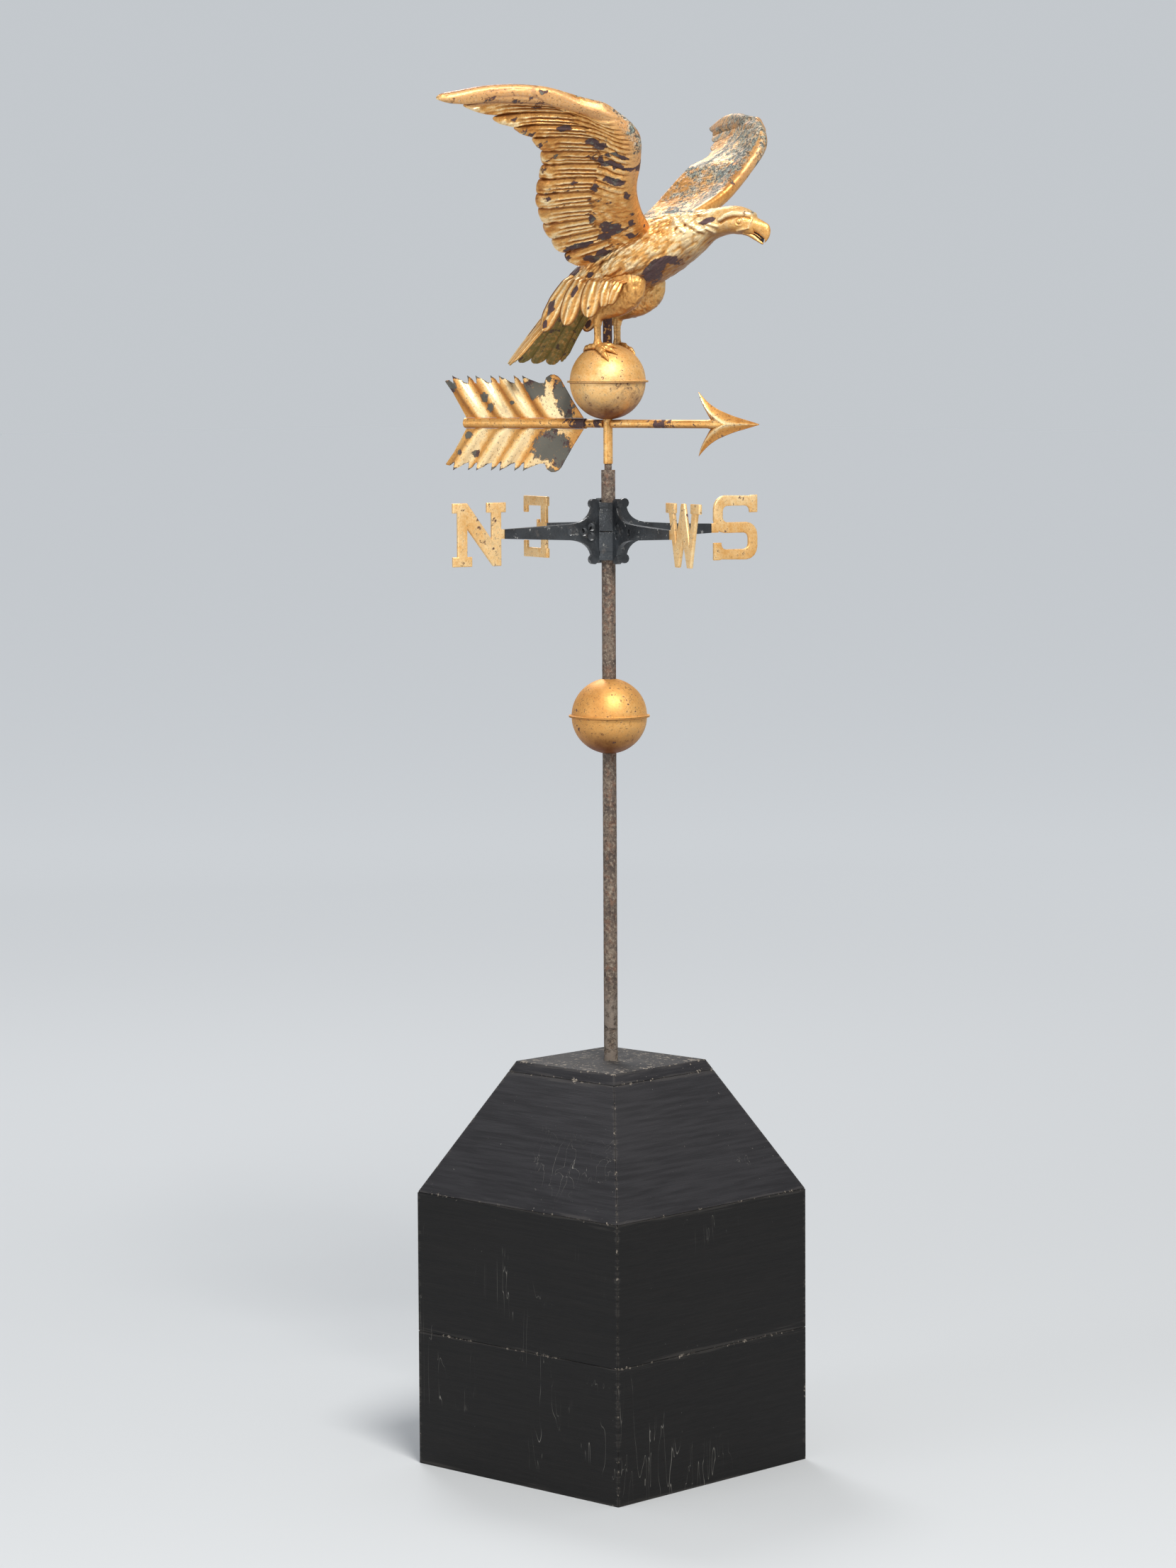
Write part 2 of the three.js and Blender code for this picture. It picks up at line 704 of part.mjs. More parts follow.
function letterW() {
  const width = letterWidthW;
  const serif = width * slantShares.serif;
  const strokeTop = width * slantShares.top;
  const strokeTopInner = width * slantShares.topInner;
  const footOuter = width * slantShares.foot;
  const footInner = width * slantShares.footInner;
  const peak = width * slantShares.peak;
  const middle = width / 2;
  const valley = letterHeight * slantShares.valley;
  const crotch = letterHeight * slantShares.crotch;
  const valleyPlace = (footOuter + footInner - peak) / 2;
  const contact = strokeTop + ((footOuter - strokeTop) * serifFoot) / (serifFoot + letterHalf);
  const left = [
    [strokeTop, serifFoot], [0, serifFoot], [0, letterHalf], [serif, letterHalf], [serif, serifFoot],
    [strokeTopInner, serifFoot], [valleyPlace, -valley], [middle - peak, letterHalf],
  ];
  const right = [
    [middle + peak, letterHalf], [width - valleyPlace, -valley],
    [width - strokeTopInner, serifFoot], [width - serif, serifFoot], [width - serif, letterHalf],
    [width, letterHalf], [width, serifFoot], [width - strokeTop, serifFoot], [width - footOuter, -letterHalf],
    [width - footInner, -letterHalf], [middle, -crotch], [footInner, -letterHalf], [footOuter, -letterHalf],
  ];
  return [...left, ...right].map(([x, y]) => [x - contact, y]);
}

function letter(outline) {
  const shape = new THREE.Shape(outline.map(([x, y]) => new THREE.Vector2(x, y)));
  const geometry = new THREE.ExtrudeGeometry(shape, {
    depth: letterThickness - 2 * letterBevel, bevelEnabled: true, bevelSegments: 1,
    bevelThickness: letterBevel, bevelSize: letterBevel, bevelOffset: -letterBevel,
  });
  geometry.translate(0, 0, letterBevel - letterThickness / 2).rotateX(Math.PI / 2);
  const padLength = letterPadLength + letterStroke / 2;
  const pad = block(padLength, letterThickness, armTipHeight, letterStroke / 2 - padLength / 2);
  return solid(geometry).add(pad).translate([armReach + seatGap + letterPadLength, 0, 0]);
}

function directionals() {
  const group = new THREE.Group();
  group.position.z = directionalHeight;
  group.rotation.z = THREE.MathUtils.degToRad(compassHeading);
  group.add(piece('hub_upper_collar', collar(true), finishes.castIron));
  group.add(piece('hub_lower_collar', collar(false), finishes.castIron));
  group.add(piece('upper_set_screw', setScrew(1), finishes.castIron));
  group.add(piece('lower_set_screw', setScrew(-1), finishes.castIron));
  const points = [
    ['south', 's', 0, letterS()], ['east', 'e', 90, letterE()], ['north', 'n', 180, letterN()],
    ['west', 'w', 270, letterW()],
  ];
  points.forEach(([name, initial, degrees, outline]) => {
    const wing = new THREE.Group();
    wing.rotation.z = THREE.MathUtils.degToRad(degrees);
    wing.add(piece(`arm_${name}`, solid(arm()), finishes.castIron));
    wing.add(piece(`letter_${initial}`, letter(outline), finishes.gilt));
    group.add(wing);
  });
  return group;
}

// Vane tube and bearing

function vaneTube() {
  return turned([
    [tubeBoreRadius, tubeFoot], [tubeRadius, tubeFoot], [tubeRadius, tubeTop], [tubeBoreRadius, tubeTop],
  ], 24);
}

function bearingCup() {
  const outer = tubeBoreRadius - seatGap;
  const mouth = spindleTip + seatGap - bearingCupDepth;
  const pit = spindleTip + seatGap;
  const top = tubeTop - seatGap;
  const slope = spindleRadius / spindlePointLength;
  const mouthRadius = bearingCupDepth * slope + seatGap;
  return turned([[0, pit], [mouthRadius, mouth], [outer, mouth], [outer, top], [0, top]], 24);
}

// Arrow

function barAlongX(radius, x0, x1, sides = 16) {
  const geometry = new THREE.CylinderGeometry(radius, radius, x1 - x0, sides);
  return solid(geometry.rotateZ(Math.PI / 2).translate((x0 + x1) / 2, 0, arrowAxis));
}

function tubeClearance() {
  return bar(tubeRadius + seatGap, tubeFoot, tubeTop);
}

function arrowSleeve() {
  const bore = shaftRadius + seatGap;
  const outer = barAlongX(arrowSleeveDiameter / 2, -arrowTailLength, -arrowSleeveFront, 20);
  const inner = barAlongX(bore, -arrowTailLength - cutOverrun, -arrowSleeveFront + cutOverrun, 20);
  return outer.subtract(inner);
}

// Head columns from the tip to the notch behind the barbs: places of the ridge, the crease and the rim in
// shares of the head's reach, then the rim's height and the ridge's depth in shares of half the whole
const headColumnShares = [
  [1, 1, 1, 0, 0.1], [0.78, 0.66, 0.482, 0.25, 0.5], [0.52, 0.33, 0.113, 0.492, 0.8],
  [0.3, -0.03, -0.256, 1, 0.95], [0, -0.005, -0.016, 0.182, 1],
];
const headCreaseShares = [0.1, 0.32, 0.52, 0.8, 0.85];
const creaseLevelShare = 0.4;

function arrowHead() {
  const reach = arrowTipLength - arrowNeckLength;
  const spread = arrowHeadSpread / 2;
  const levelShares = [-1, -creaseLevelShare, 0, creaseLevelShare, 1];
  const face = (side) => levelShares.map((level) => headColumnShares.map((column, i) => {
    const [ridge, crease, rim, height, depth] = column;
    const across = Math.abs(level);
    const [place, swell] = across === 0 ? [ridge, depth] : [across === 1 ? rim : crease, headCreaseShares[i]];
    const edge = arrowHeadEdge / 2;
    const half = across === 1 ? edge : Math.max(edge, (arrowHeadDepth / 2) * swell);
    const lift = level * height * spread;
    return new THREE.Vector3(arrowNeckLength + reach * place, side * half, arrowAxis + lift);
  }));
  const socketEnd = arrowNeckLength + arrowSocketDepth + seatGap;
  const socket = barAlongX(shaftRadius + seatGap, arrowNeckLength - reach, socketEnd);
  return sheet(face(1), face(-1)).subtract(socket);
}

// Fletching columns from the sleeve's front end: the rim's place, its height and the root's place in shares
// of the sleeve's length and the sheet's height, then half waves of the corrugation, one to a tooth
const fletchingLobeShares = [
  [0.2, 0.8, 0.02, -0.3], [0.24, 0.98, 0.05, -0.15], [0.294, 1.02, 0.087, 0],
  [0.335, 0.96, 0.12, 0.15], [0.35, 0.84, 0.14, 0.25], [0.4, 0.88, 0.2, 0.5],
];
const fletchingToothShares = [[0.494, 1, 0.304, 1], [0.51, 0.85, 0.324, 1.2], [0.546, 0.92, 0.354, 1.5]];
const fletchingEndShares = [[1.12, 0.9, 0.93, 7.5], [1.18, 0.86, 0.965, 7.8], [1.1, 0.58, 0.99, 8]];
const toothPitchShare = 0.097;
const toothCount = 7;

function fletchingColumns() {
  const tooth = (i) => fletchingToothShares.map(([rim, height, root, halfWaves]) => [
    rim + i * toothPitchShare, height, root + i * toothPitchShare, halfWaves + i,
  ]);
  const teeth = Array.from({ length: toothCount }, (_, i) => tooth(i));
  return [...fletchingLobeShares, ...teeth.flat().slice(0, -1), ...fletchingEndShares];
}

function fletching(sign) {
  const foot = arrowSleeveDiameter / 2 + seatGap;
  const length = arrowTailLength - arrowSleeveFront;
  const riseShares = [0, 0.35, 1];
  const row = (rise, offset) => fletchingColumns().map(([rim, height, root, halfWaves]) => {
    const fold = fletchingFoldDepth * Math.cos(Math.PI * halfWaves) * Math.sqrt(rise);
    const place = -arrowSleeveFront - length * THREE.MathUtils.lerp(root, rim, rise);
    const lift = THREE.MathUtils.lerp(foot, height * fletchingHeight, rise);
    return new THREE.Vector3(place, fold + offset, arrowAxis + sign * lift);
  });
  const side = (offset) => riseShares.map((rise) => row(rise, offset));
  return sheet(side(fletchingThickness / 2), side(-fletchingThickness / 2));
}

function arrow() {
  const group = new THREE.Group();
  const front = barAlongX(shaftRadius, cutOverrun, arrowNeckLength + arrowSocketDepth);
  const rear = barAlongX(shaftRadius, -arrowTailLength, -cutOverrun);
  group.add(piece('arrow_front_shaft', front.subtract(tubeClearance()), finishes.gilt));
  group.add(piece('arrow_rear_shaft', rear.subtract(tubeClearance()), finishes.gilt));
  group.add(piece('fletching_sleeve', arrowSleeve(), finishes.gilt));
  group.add(piece('arrow_head', arrowHead(), finishes.gilt));
  group.add(piece('fletching_upper', fletching(1), finishes.gilt));
  group.add(piece('fletching_lower', fletching(-1), finishes.gilt));
  return group;
}

// Eagle: places are shares of its length from beak to tail, forwards, to the right and above the perch
function birdPoint(forwardShare, rightShare, upShare) {
  const place = new THREE.Vector3(forwardShare, -rightShare, upShare).multiplyScalar(eagleLength);
  place.z += perchHeight;
  return place;
}

// Body stations from rump to beak: back [forward, up], belly [forward, up] and half width
const bodyStationShares = [
  [-0.14, 0.2, -0.118, 0.16, 0.044], [-0.118, 0.234, -0.097, 0.146, 0.078],
  [-0.046, 0.289, -0.028, 0.144, 0.106], [0.035, 0.347, 0.058, 0.153, 0.12],
  [0.116, 0.392, 0.134, 0.176, 0.125], [0.199, 0.419, 0.213, 0.208, 0.116],
  [0.266, 0.427, 0.285, 0.247, 0.097], [0.324, 0.432, 0.343, 0.287, 0.076],
  [0.382, 0.434, 0.407, 0.336, 0.058], [0.44, 0.442, 0.463, 0.353, 0.049],
  [0.488, 0.442, 0.5, 0.351, 0.045], [0.53, 0.436, 0.524, 0.352, 0.0385],
  [0.553, 0.42, 0.537, 0.35, 0.031], [0.559, 0.405, 0.546, 0.345, 0.0255],
  [0.58, 0.396, 0.556, 0.339, 0.021], [0.6, 0.388, 0.565, 0.332, 0.017],
  [0.613, 0.379, 0.572, 0.328, 0.013], [0.617, 0.361, 0.579, 0.324, 0.0095],
  [0.607, 0.336, 0.588, 0.321, 0.004],
];
const firstHollowStation = 1;
const endHollowStation = 11;
const bodySides = 20;
const hollowSides = 12;

function bodyRing([backX, backZ, bellyX, bellyZ, halfShare], grow, sides) {
  const back = birdPoint(backX, 0, backZ);
  const belly = birdPoint(bellyX, 0, bellyZ);
  const centre = back.clone().add(belly).multiplyScalar(0.5);
  const rise = back.clone().sub(belly).multiplyScalar(0.5);
  const halfRise = rise.length() + grow;
  rise.normalize();
  const halfWidth = halfShare * eagleLength + grow;
  return Array.from({ length: sides }, (_, i) => {
    const turn = (2 * Math.PI * i) / sides;
    return centre.clone()
      .addScaledVector(rise, halfRise * Math.cos(turn))
      .add(new THREE.Vector3(0, halfWidth * Math.sin(turn), 0));
  });
}

function bodyForm(stations, grow, sides = bodySides) {
  return solid(loft(stations.map((station) => bodyRing(station, grow, sides))));
}

// The brow from behind the eye to the beak's root, and the eye under it, forwards, sideways and up
const browShares = [
  [0.475, 0.044, 0.4], [0.503, 0.0415, 0.407], [0.528, 0.034, 0.411], [0.547, 0.0245, 0.409],
];
const browSwellShares = [0.3, 0.8, 1, 0.6];
const eyeShares = [0.517, 0.0385, 0.392];

function eyeAndBrow(side) {
  const at = ([forward, across, up]) => birdPoint(forward, -side * across, up);
  const eye = new THREE.SphereGeometry(eyeDiameter / 2, 8, 6);
  eye.rotateX(Math.PI / 2).translate(...at(eyeShares).toArray());
  const radii = browSwellShares.map((swell) => (swell * browDiameter) / 2);
  return limb(browShares.map(at), radii, 6).add(solid(eye));
}

// The gape between the upper beak and the lower, as shares of the bird's length
const gapeShares = [
  [0.555, 0.3605], [0.573, 0.356], [0.583, 0.349], [0.59, 0.339], [0.597, 0.327], [0.6, 0.31],
  [0.586, 0.31], [0.59, 0.325], [0.573, 0.3445], [0.556, 0.3575],
];
const gapeWidthShare = 0.1;

function gapeCut() {
  const outline = gapeShares.map((place) => new THREE.Vector2(...place).multiplyScalar(eagleLength));
  const shape = new THREE.Shape(outline);
  const depth = gapeWidthShare * eagleLength;
  const geometry = new THREE.ExtrudeGeometry(shape, { depth, bevelEnabled: false });
  return solid(geometry.translate(0, 0, -depth / 2).rotateX(Math.PI / 2).translate(0, 0, perchHeight));
}

function bodyShell(side) {
  const hollowStations = bodyStationShares.slice(firstHollowStation, endHollowStation);
  const reach = 2 * eagleLength;
  const half = block(reach, reach, reach, 0, side * (reach / 2 + seatGap / 2), perchHeight);
  return bodyForm(bodyStationShares, 0)
    .add(eyeAndBrow(side))
    .subtract(bodyForm(hollowStations, -copperWall, hollowSides))
    .subtract(gapeCut())
    .subtract(tubeClearance())
    .intersect(half);
}

const bodyEnvelope = bodyForm(bodyStationShares, seatGap);

// Wing: four edge curves of one patch, as shares of the bird's length
const armEdgeShares = [
  [0.199, 0.065, 0.384], [0.245, 0.204, 0.431], [0.294, 0.319, 0.498],
  [0.343, 0.38, 0.583], [0.366, 0.431, 0.664], [0.294, 0.533, 0.759],
];
const outerEdgeShares = [
  [0.294, 0.533, 0.759], [0.163, 0.611, 0.809], [0.023, 0.757, 0.818], [-0.091, 0.907, 0.786],
];
const rootEdgeShares = [
  [0.199, 0.065, 0.384], [0.13, 0.078, 0.345], [0.04, 0.08, 0.3], [-0.032, 0.074, 0.262],
];
const featherTipShares = [
  [-0.032, 0.074, 0.262], [-0.065, 0.144, 0.272], [-0.09, 0.194, 0.319], [-0.088, 0.259, 0.369],
  [-0.065, 0.331, 0.418], [-0.042, 0.391, 0.462], [-0.016, 0.428, 0.508], [0.014, 0.458, 0.553],
  [0.039, 0.493, 0.597], [0.058, 0.563, 0.638], [0.039, 0.637, 0.675], [0.005, 0.706, 0.702],
  [-0.035, 0.789, 0.737], [-0.095, 0.907, 0.771], [-0.091, 0.907, 0.786],
];
// Depth of the notch at each feather's inner side, from the body to the wing tip
const notchShares = [
  0, 0.028, 0.025, 0.014, 0.009, 0.008, 0.008, 0.012, 0.018, 0.031, 0.038, 0.047, 0.058, 0.016,
];
const featherCount = notchShares.length - 1;
const samplesPerFeather = 3;
const chordRowShares = [0, 0.035, 0.11, 0.28, 0.55, 1];
const bulgeShares = [0, 0.6, 1, 0.7, 0.15, 0];
// The last feather's own swell in shares of the wing's, and where the ribs between feathers fade in
const tipSwellShare = 0.6;
const ribStartShare = 0.3;
const ribRunShare = 0.3;

function birdCurve(shares) {
  return new THREE.CatmullRomCurve3(shares.map(([x, y, z]) => birdPoint(x, y, z)), false, 'centripetal');
}

const armEdge = birdCurve(armEdgeShares);
const outerEdge = birdCurve(outerEdgeShares);
const rootEdge = birdCurve(rootEdgeShares);
const tipEdge = birdCurve(featherTipShares);

// The tip curve passes each feather's tip at the middle of that feather
function tipPlace(v) {
  const feather = v * featherCount;
  const half = 0.5;
  let index = feather + half;
  if (feather < half) index = feather / half;
  if (feather > featherCount - half) index = featherCount + (feather - featherCount + half) / half;
  return tipEdge.getPoint(index / (featherTipShares.length - 1));
}

function wingPatch(u, v) {
  const start = armEdge.getPoint(v);
  const end = tipPlace(v);
  const low = rootEdge.getPoint(u);
  const high = outerEdge.getPoint(u);
  const corner = (edge, share) => edge.getPoint(share);
  const blend = start.multiplyScalar(1 - u).add(end.multiplyScalar(u))
    .add(low.multiplyScalar(1 - v)).add(high.multiplyScalar(v));
  blend.addScaledVector(corner(armEdge, 0), -(1 - u) * (1 - v));
  blend.addScaledVector(corner(armEdge, 1), -(1 - u) * v);
  blend.addScaledVector(corner(rootEdge, 1), -u * (1 - v));
  blend.addScaledVector(corner(outerEdge, 1), -u * v);
  return blend;
}

// One skin, face 1 above and -1 below; the left wing is bent down a little beyond its wrist
function wingSkin(face, droop) {
  const columns = featherCount * samplesPerFeather + 1;
  const grid = (offset) => chordRowShares.map((row, r) => Array.from({ length: columns }, (_, c) => {
    const v = c / (columns - 1);
    const feather = c / samplesPerFeather;
    const atBoundary = c % samplesPerFeather === 0;
    const chord = armEdge.getPoint(v).distanceTo(tipPlace(v));
    const notch = atBoundary ? (notchShares[feather] * eagleLength) / chord : 0;
    const u = row * (1 - notch);
    const place = wingPatch(u, v);
    const fromTip = (1 - v) * featherCount;
    const rimShare = Math.sqrt(Math.min(1, fromTip));
    const tipShare = tipSwellShare * Math.max(0, 1 - Math.abs(fromTip - 1) / 2) * Math.sqrt(1 - row);
    const bulge = wingHalfDepth * rimShare * Math.max(bulgeShares[r], tipShare);
    const atRim = row === 0 || row === 1 || c === columns - 1;
    const ribShare = THREE.MathUtils.clamp((row - ribStartShare) / ribRunShare, 0, 1);
    const rib = featherRelief * (atBoundary ? -1 : 1) * ribShare;
    const camber = wingCamber * Math.sin(Math.PI * u);
    const skin = face * (seatGap / 2 + (atRim ? 0 : bulge) + offset);
    place.addScaledVector(normalAt(wingPatch, u, v), skin - camber - rib);
    place.z -= droop * THREE.MathUtils.smoothstep(-place.y, droopStart, droopStart + droopRun);
    return place;
  }));
  return sheet(grid(wingSkinThickness), grid(0)).subtract(bodyEnvelope);
}

// Tail: root, tip and side shares from the ridge to the outer edge
const tailRootShares = [[-0.105, 0, 0.225], [-0.1, 0.03, 0.205], [-0.088, 0.06, 0.17], [-0.07, 0.079, 0.139]];
const tailTipShares = [
  [-0.383, 0, -0.06], [-0.357, 0.045, -0.064], [-0.325, 0.1, -0.067], [-0.284, 0.15, -0.069],
  [-0.246, 0.157, -0.046],
];
const tailFeathers = 9;
const tailArchShare = 0.012;
const tailNotchShare = 0.075;
const tailRibShare = 0.6;

function tailPoint(across, along) {
  const side = Math.abs(2 * across - 1);
  const root = birdCurve(tailRootShares).getPoint(side);
  const tip = birdCurve(tailTipShares).getPoint(side);
  const place = root.lerp(tip, along);
  place.z += tailArchShare * eagleLength * Math.sin(Math.PI * along);
  if (across > 0.5) place.y = -place.y;
  return place;
}

function tailFan() {
  const columns = tailFeathers * 3 + 1;
  const rowShares = [0, 0.35, 0.7, 0.92, 1];
  const grid = (offset) => rowShares.map((row) => Array.from({ length: columns }, (_, c) => {
    const across = c / (columns - 1);
    const atBoundary = c % 3 === 0;
    const atEdge = c === 0 || c === columns - 1;
    const notch = atEdge ? tailNotchShare / 2 : tailNotchShare;
    const along = row * (atBoundary ? 1 - notch : 1);
    const rib = featherRelief * (atBoundary ? -1 : tailRibShare) * row;
    return tailPoint(across, along).addScaledVector(normalAt(tailPoint, across, along), rib + offset);
  }));
  return sheet(grid(tailSheetThickness / 2), grid(-tailSheetThickness / 2)).subtract(bodyEnvelope);
}

// Flank feathers: root ends, and the rim from the rear feather's tip round each notch to the front
const flankRootShares = [[-0.079, 0.088, 0.211], [0.002, 0.112, 0.212], [0.132, 0.118, 0.201]];
const flankRimShares = [
  [-0.15, 0.12, 0.068], [-0.166, 0.13, 0.038], [-0.135, 0.132, 0.05], [-0.091, 0.132, 0.079],
  [-0.087, 0.138, 0.064], [-0.074, 0.14, 0.056], [-0.045, 0.14, 0.075], [-0.007, 0.137, 0.117],
  [0.001, 0.141, 0.095], [0.014, 0.142, 0.083], [0.04, 0.141, 0.1], [0.066, 0.137, 0.134],
  [0.076, 0.138, 0.124], [0.1, 0.136, 0.134], [0.124, 0.133, 0.164], [0.136, 0.13, 0.197],
];
const flankRibShares = [0, 1, 0.4, -1];
const flankSwellShare = 0.01;

function flankPoint(across, along) {
  const place = birdCurve(flankRootShares).getPoint(across);
  const rim = birdCurve(flankRimShares).getPoint(across);
  place.lerp(rim, along);
  place.y -= flankSwellShare * eagleLength * Math.sin(Math.PI * along);
  return place;
}

function flankRow() {
  const columns = flankRimShares.length;
  const rowShares = [0, 0.35, 0.7, 1];
  const grid = (offset) => rowShares.map((row) => Array.from({ length: columns }, (_, c) => {
    const across = c / (columns - 1);
    const rib = featherRelief * flankRibShares[c % flankRibShares.length] * row;
    return flankPoint(across, row).addScaledVector(normalAt(flankPoint, across, row), rib + offset);
  }));
  return sheet(grid(flankSheetThickness / 2), grid(-flankSheetThickness / 2)).subtract(bodyEnvelope);
}

// Leg: thigh stations [forward, right, up, half depth, half width] in shares of the bird's length
const thighStationShares = [
  [0.12, 0.062, 0.25, 0.06, 0.035], [0.108, 0.067, 0.205, 0.074, 0.041],
  [0.098, 0.067, 0.175, 0.076, 0.043], [0.072, 0.066, 0.142, 0.06, 0.037],
  [0.036, 0.065, 0.113, 0.037, 0.025], [0.006, 0.065, 0.086, 0.018, 0.016],
  [-0.002, 0.065, 0.06, 0.0135, 0.0135],
];
const thighSides = 12;

function thigh() {
  const rings = thighStationShares.map(([x, y, z, depth, width], i) => {
    const centre = birdPoint(x, y, z);
    const before = thighStationShares[Math.max(0, i - 1)];
    const after = thighStationShares[Math.min(thighStationShares.length - 1, i + 1)];
    const run = birdPoint(after[0], 0, after[2]).sub(birdPoint(before[0], 0, before[2])).normalize();
    const ahead = new THREE.Vector3(-run.z, 0, run.x);
    return Array.from({ length: thighSides }, (_, k) => {
      const turn = (2 * Math.PI * k) / thighSides;
      return centre.clone()
        .addScaledVector(ahead, depth * eagleLength * Math.cos(turn))
        .add(new THREE.Vector3(0, width * eagleLength * Math.sin(turn), 0));
    });
  });
  return solid(loft(rings));
}

// Toes: swells of the joints in shares of the toe's diameter, headings about the upright in degrees
const toeSwellShares = [0.72, 1, 0.82, 0.86, 0.5];
const toeHeadings = [42, 4, -32];
const backToeHeading = 192;
const innerToeShare = 0.85;

// A toe follows the globe from the foot and ends in a claw
function toe(headingDegrees, length) {
  const centre = new THREE.Vector3(0, 0, upperGlobeHeight);
  const start = new THREE.Vector3(0, -legSpread, Math.sqrt(globeRadius ** 2 - legSpread ** 2)).normalize();
  const heading = THREE.MathUtils.degToRad(headingDegrees);
  const aim = new THREE.Vector3(Math.cos(heading), -Math.sin(heading), 0);
  const tangent = aim.addScaledVector(start, -aim.dot(start)).normalize();
  const swells = [...toeSwellShares, clawDiameter / toeDiameter];
  const places = swells.map((swell, i) => {
    const arc = ((i / (swells.length - 1)) * length) / globeRadius;
    const lift = globeRadius + seatGap + (toeDiameter / 2) * swell;
    return start.clone().multiplyScalar(Math.cos(arc)).addScaledVector(tangent, Math.sin(arc))
      .multiplyScalar(lift).add(centre);
  });
  return limb(places, swells.map((swell) => (swell * toeDiameter) / 2), 6);
}

// Shank swells from the ankle to the foot, and the foot's ball as [rise, swell] rings, in shares of the shank
const ankleShares = [-0.001, 0.065];
const shankSwellShares = [1, 0.92, 1, 1.24];
const ballRingShares = [[-0.9, 0.6], [-0.35, 1], [0.35, 0.95], [0.9, 0.55]];
const ballWidthShare = 0.8;
const ballRiseShare = 0.64;

function shankAndBall(ankle, foot) {
  const radii = shankSwellShares.map((swell) => (swell * shankDiameter) / 2);
  const shank = limb([ankle, ankle.clone().lerp(foot, 0.5), foot], radii, 10);
  const rings = ballRingShares.map(([rise, swell]) => Array.from({ length: 8 }, (_, k) => {
    const turn = (2 * Math.PI * k) / 8;
    const radius = shankDiameter * ballWidthShare * swell;
    const lift = shankDiameter * ballRiseShare * rise;
    return foot.clone().add(new THREE.Vector3(radius * Math.cos(turn), radius * Math.sin(turn), lift));
  }));
  return shank.add(solid(loft(rings)));
}

function leg() {
  const ankle = birdPoint(ankleShares[0], 0, ankleShares[1]);
  ankle.y = -legSpread;
  const footHeight = upperGlobeHeight + Math.sqrt(globeRadius ** 2 - legSpread ** 2) + toeDiameter / 3;
  const foot = new THREE.Vector3(0, -legSpread, footHeight);
  const globeForm = solid(new THREE.SphereGeometry(globeRadius + seatGap, 24, 20)
    .rotateX(Math.PI / 2).translate(0, 0, upperGlobeHeight));
  let whole = thigh().add(shankAndBall(ankle, foot)).subtract(globeForm);
  toeHeadings.forEach((heading, i) => {
    whole = whole.add(toe(heading, i === 2 ? toeLength * innerToeShare : toeLength));
  });
  return whole.add(toe(backToeHeading, backToeLength)).subtract(bodyEnvelope).subtract(tubeClearance());
}

function eagle() {
  const group = new THREE.Group();
  const flank = flankRow();
  const oneLeg = leg();
  group.add(piece('eagle_body_right', bodyShell(-1), finishes.gilt));
  group.add(piece('eagle_body_left', bodyShell(1), finishes.gilt));
  group.add(piece('right_wing_upper_skin', wingSkin(1, 0), finishes.gilt));
  group.add(piece('right_wing_lower_skin', wingSkin(-1, 0), finishes.gilt));
  group.add(piece('left_wing_upper_skin', mirrored(wingSkin(1, leftWingDroop)), finishes.gilt));
  group.add(piece('left_wing_lower_skin', mirrored(wingSkin(-1, leftWingDroop)), finishes.gilt));
  group.add(piece('tail_fan', tailFan(), finishes.gilt));
  group.add(piece('right_flank_feathers', flank, finishes.gilt));
  group.add(piece('left_flank_feathers', mirrored(flank), finishes.gilt));
  group.add(piece('right_leg', oneLeg, finishes.gilt));
  group.add(piece('left_leg', mirrored(oneLeg), finishes.gilt));
  return group;
}

function vane() {
  const group = new THREE.Group();
  group.rotation.z = THREE.MathUtils.degToRad(vaneHeading);
  group.add(piece('vane_tube', vaneTube(), finishes.gilt));
  group.add(piece('bearing_cup', bearingCup(), finishes.steel));
  group.add(arrow());
  group.add(globe('upper_globe', tubeHoleRadius, upperGlobeHeight));
  group.add(eagle());
  return group;
}

const weathervane = new THREE.Group();
weathervane.add(displayBase());
weathervane.add(mast());
weathervane.add(globe('lower_globe', mastRadius + seatGap, lowerGlobeHeight));
weathervane.add(directionals());
weathervane.add(vane());

export default weathervane;
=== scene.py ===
"""Gilded eagle weathervane on a wooden display base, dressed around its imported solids."""
import math

import bmesh
import bpy
import numpy as np
from mathutils import Matrix, Vector


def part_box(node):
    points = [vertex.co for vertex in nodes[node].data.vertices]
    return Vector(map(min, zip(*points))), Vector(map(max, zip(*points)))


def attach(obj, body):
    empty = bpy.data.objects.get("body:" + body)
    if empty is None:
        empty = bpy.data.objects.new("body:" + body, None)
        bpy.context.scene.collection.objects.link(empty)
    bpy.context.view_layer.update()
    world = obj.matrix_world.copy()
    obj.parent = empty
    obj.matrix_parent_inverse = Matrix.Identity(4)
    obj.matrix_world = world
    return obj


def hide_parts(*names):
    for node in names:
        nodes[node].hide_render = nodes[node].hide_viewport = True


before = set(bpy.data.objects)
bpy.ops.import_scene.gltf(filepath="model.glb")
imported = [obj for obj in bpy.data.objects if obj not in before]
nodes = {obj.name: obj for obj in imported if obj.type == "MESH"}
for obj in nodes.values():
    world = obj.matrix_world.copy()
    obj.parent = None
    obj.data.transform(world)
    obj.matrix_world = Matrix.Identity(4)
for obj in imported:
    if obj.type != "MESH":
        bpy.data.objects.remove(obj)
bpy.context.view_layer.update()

MM = 0.001


def bottom_of(node):
    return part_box(node)[0][2]


def top_of(node):
    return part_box(node)[1][2]


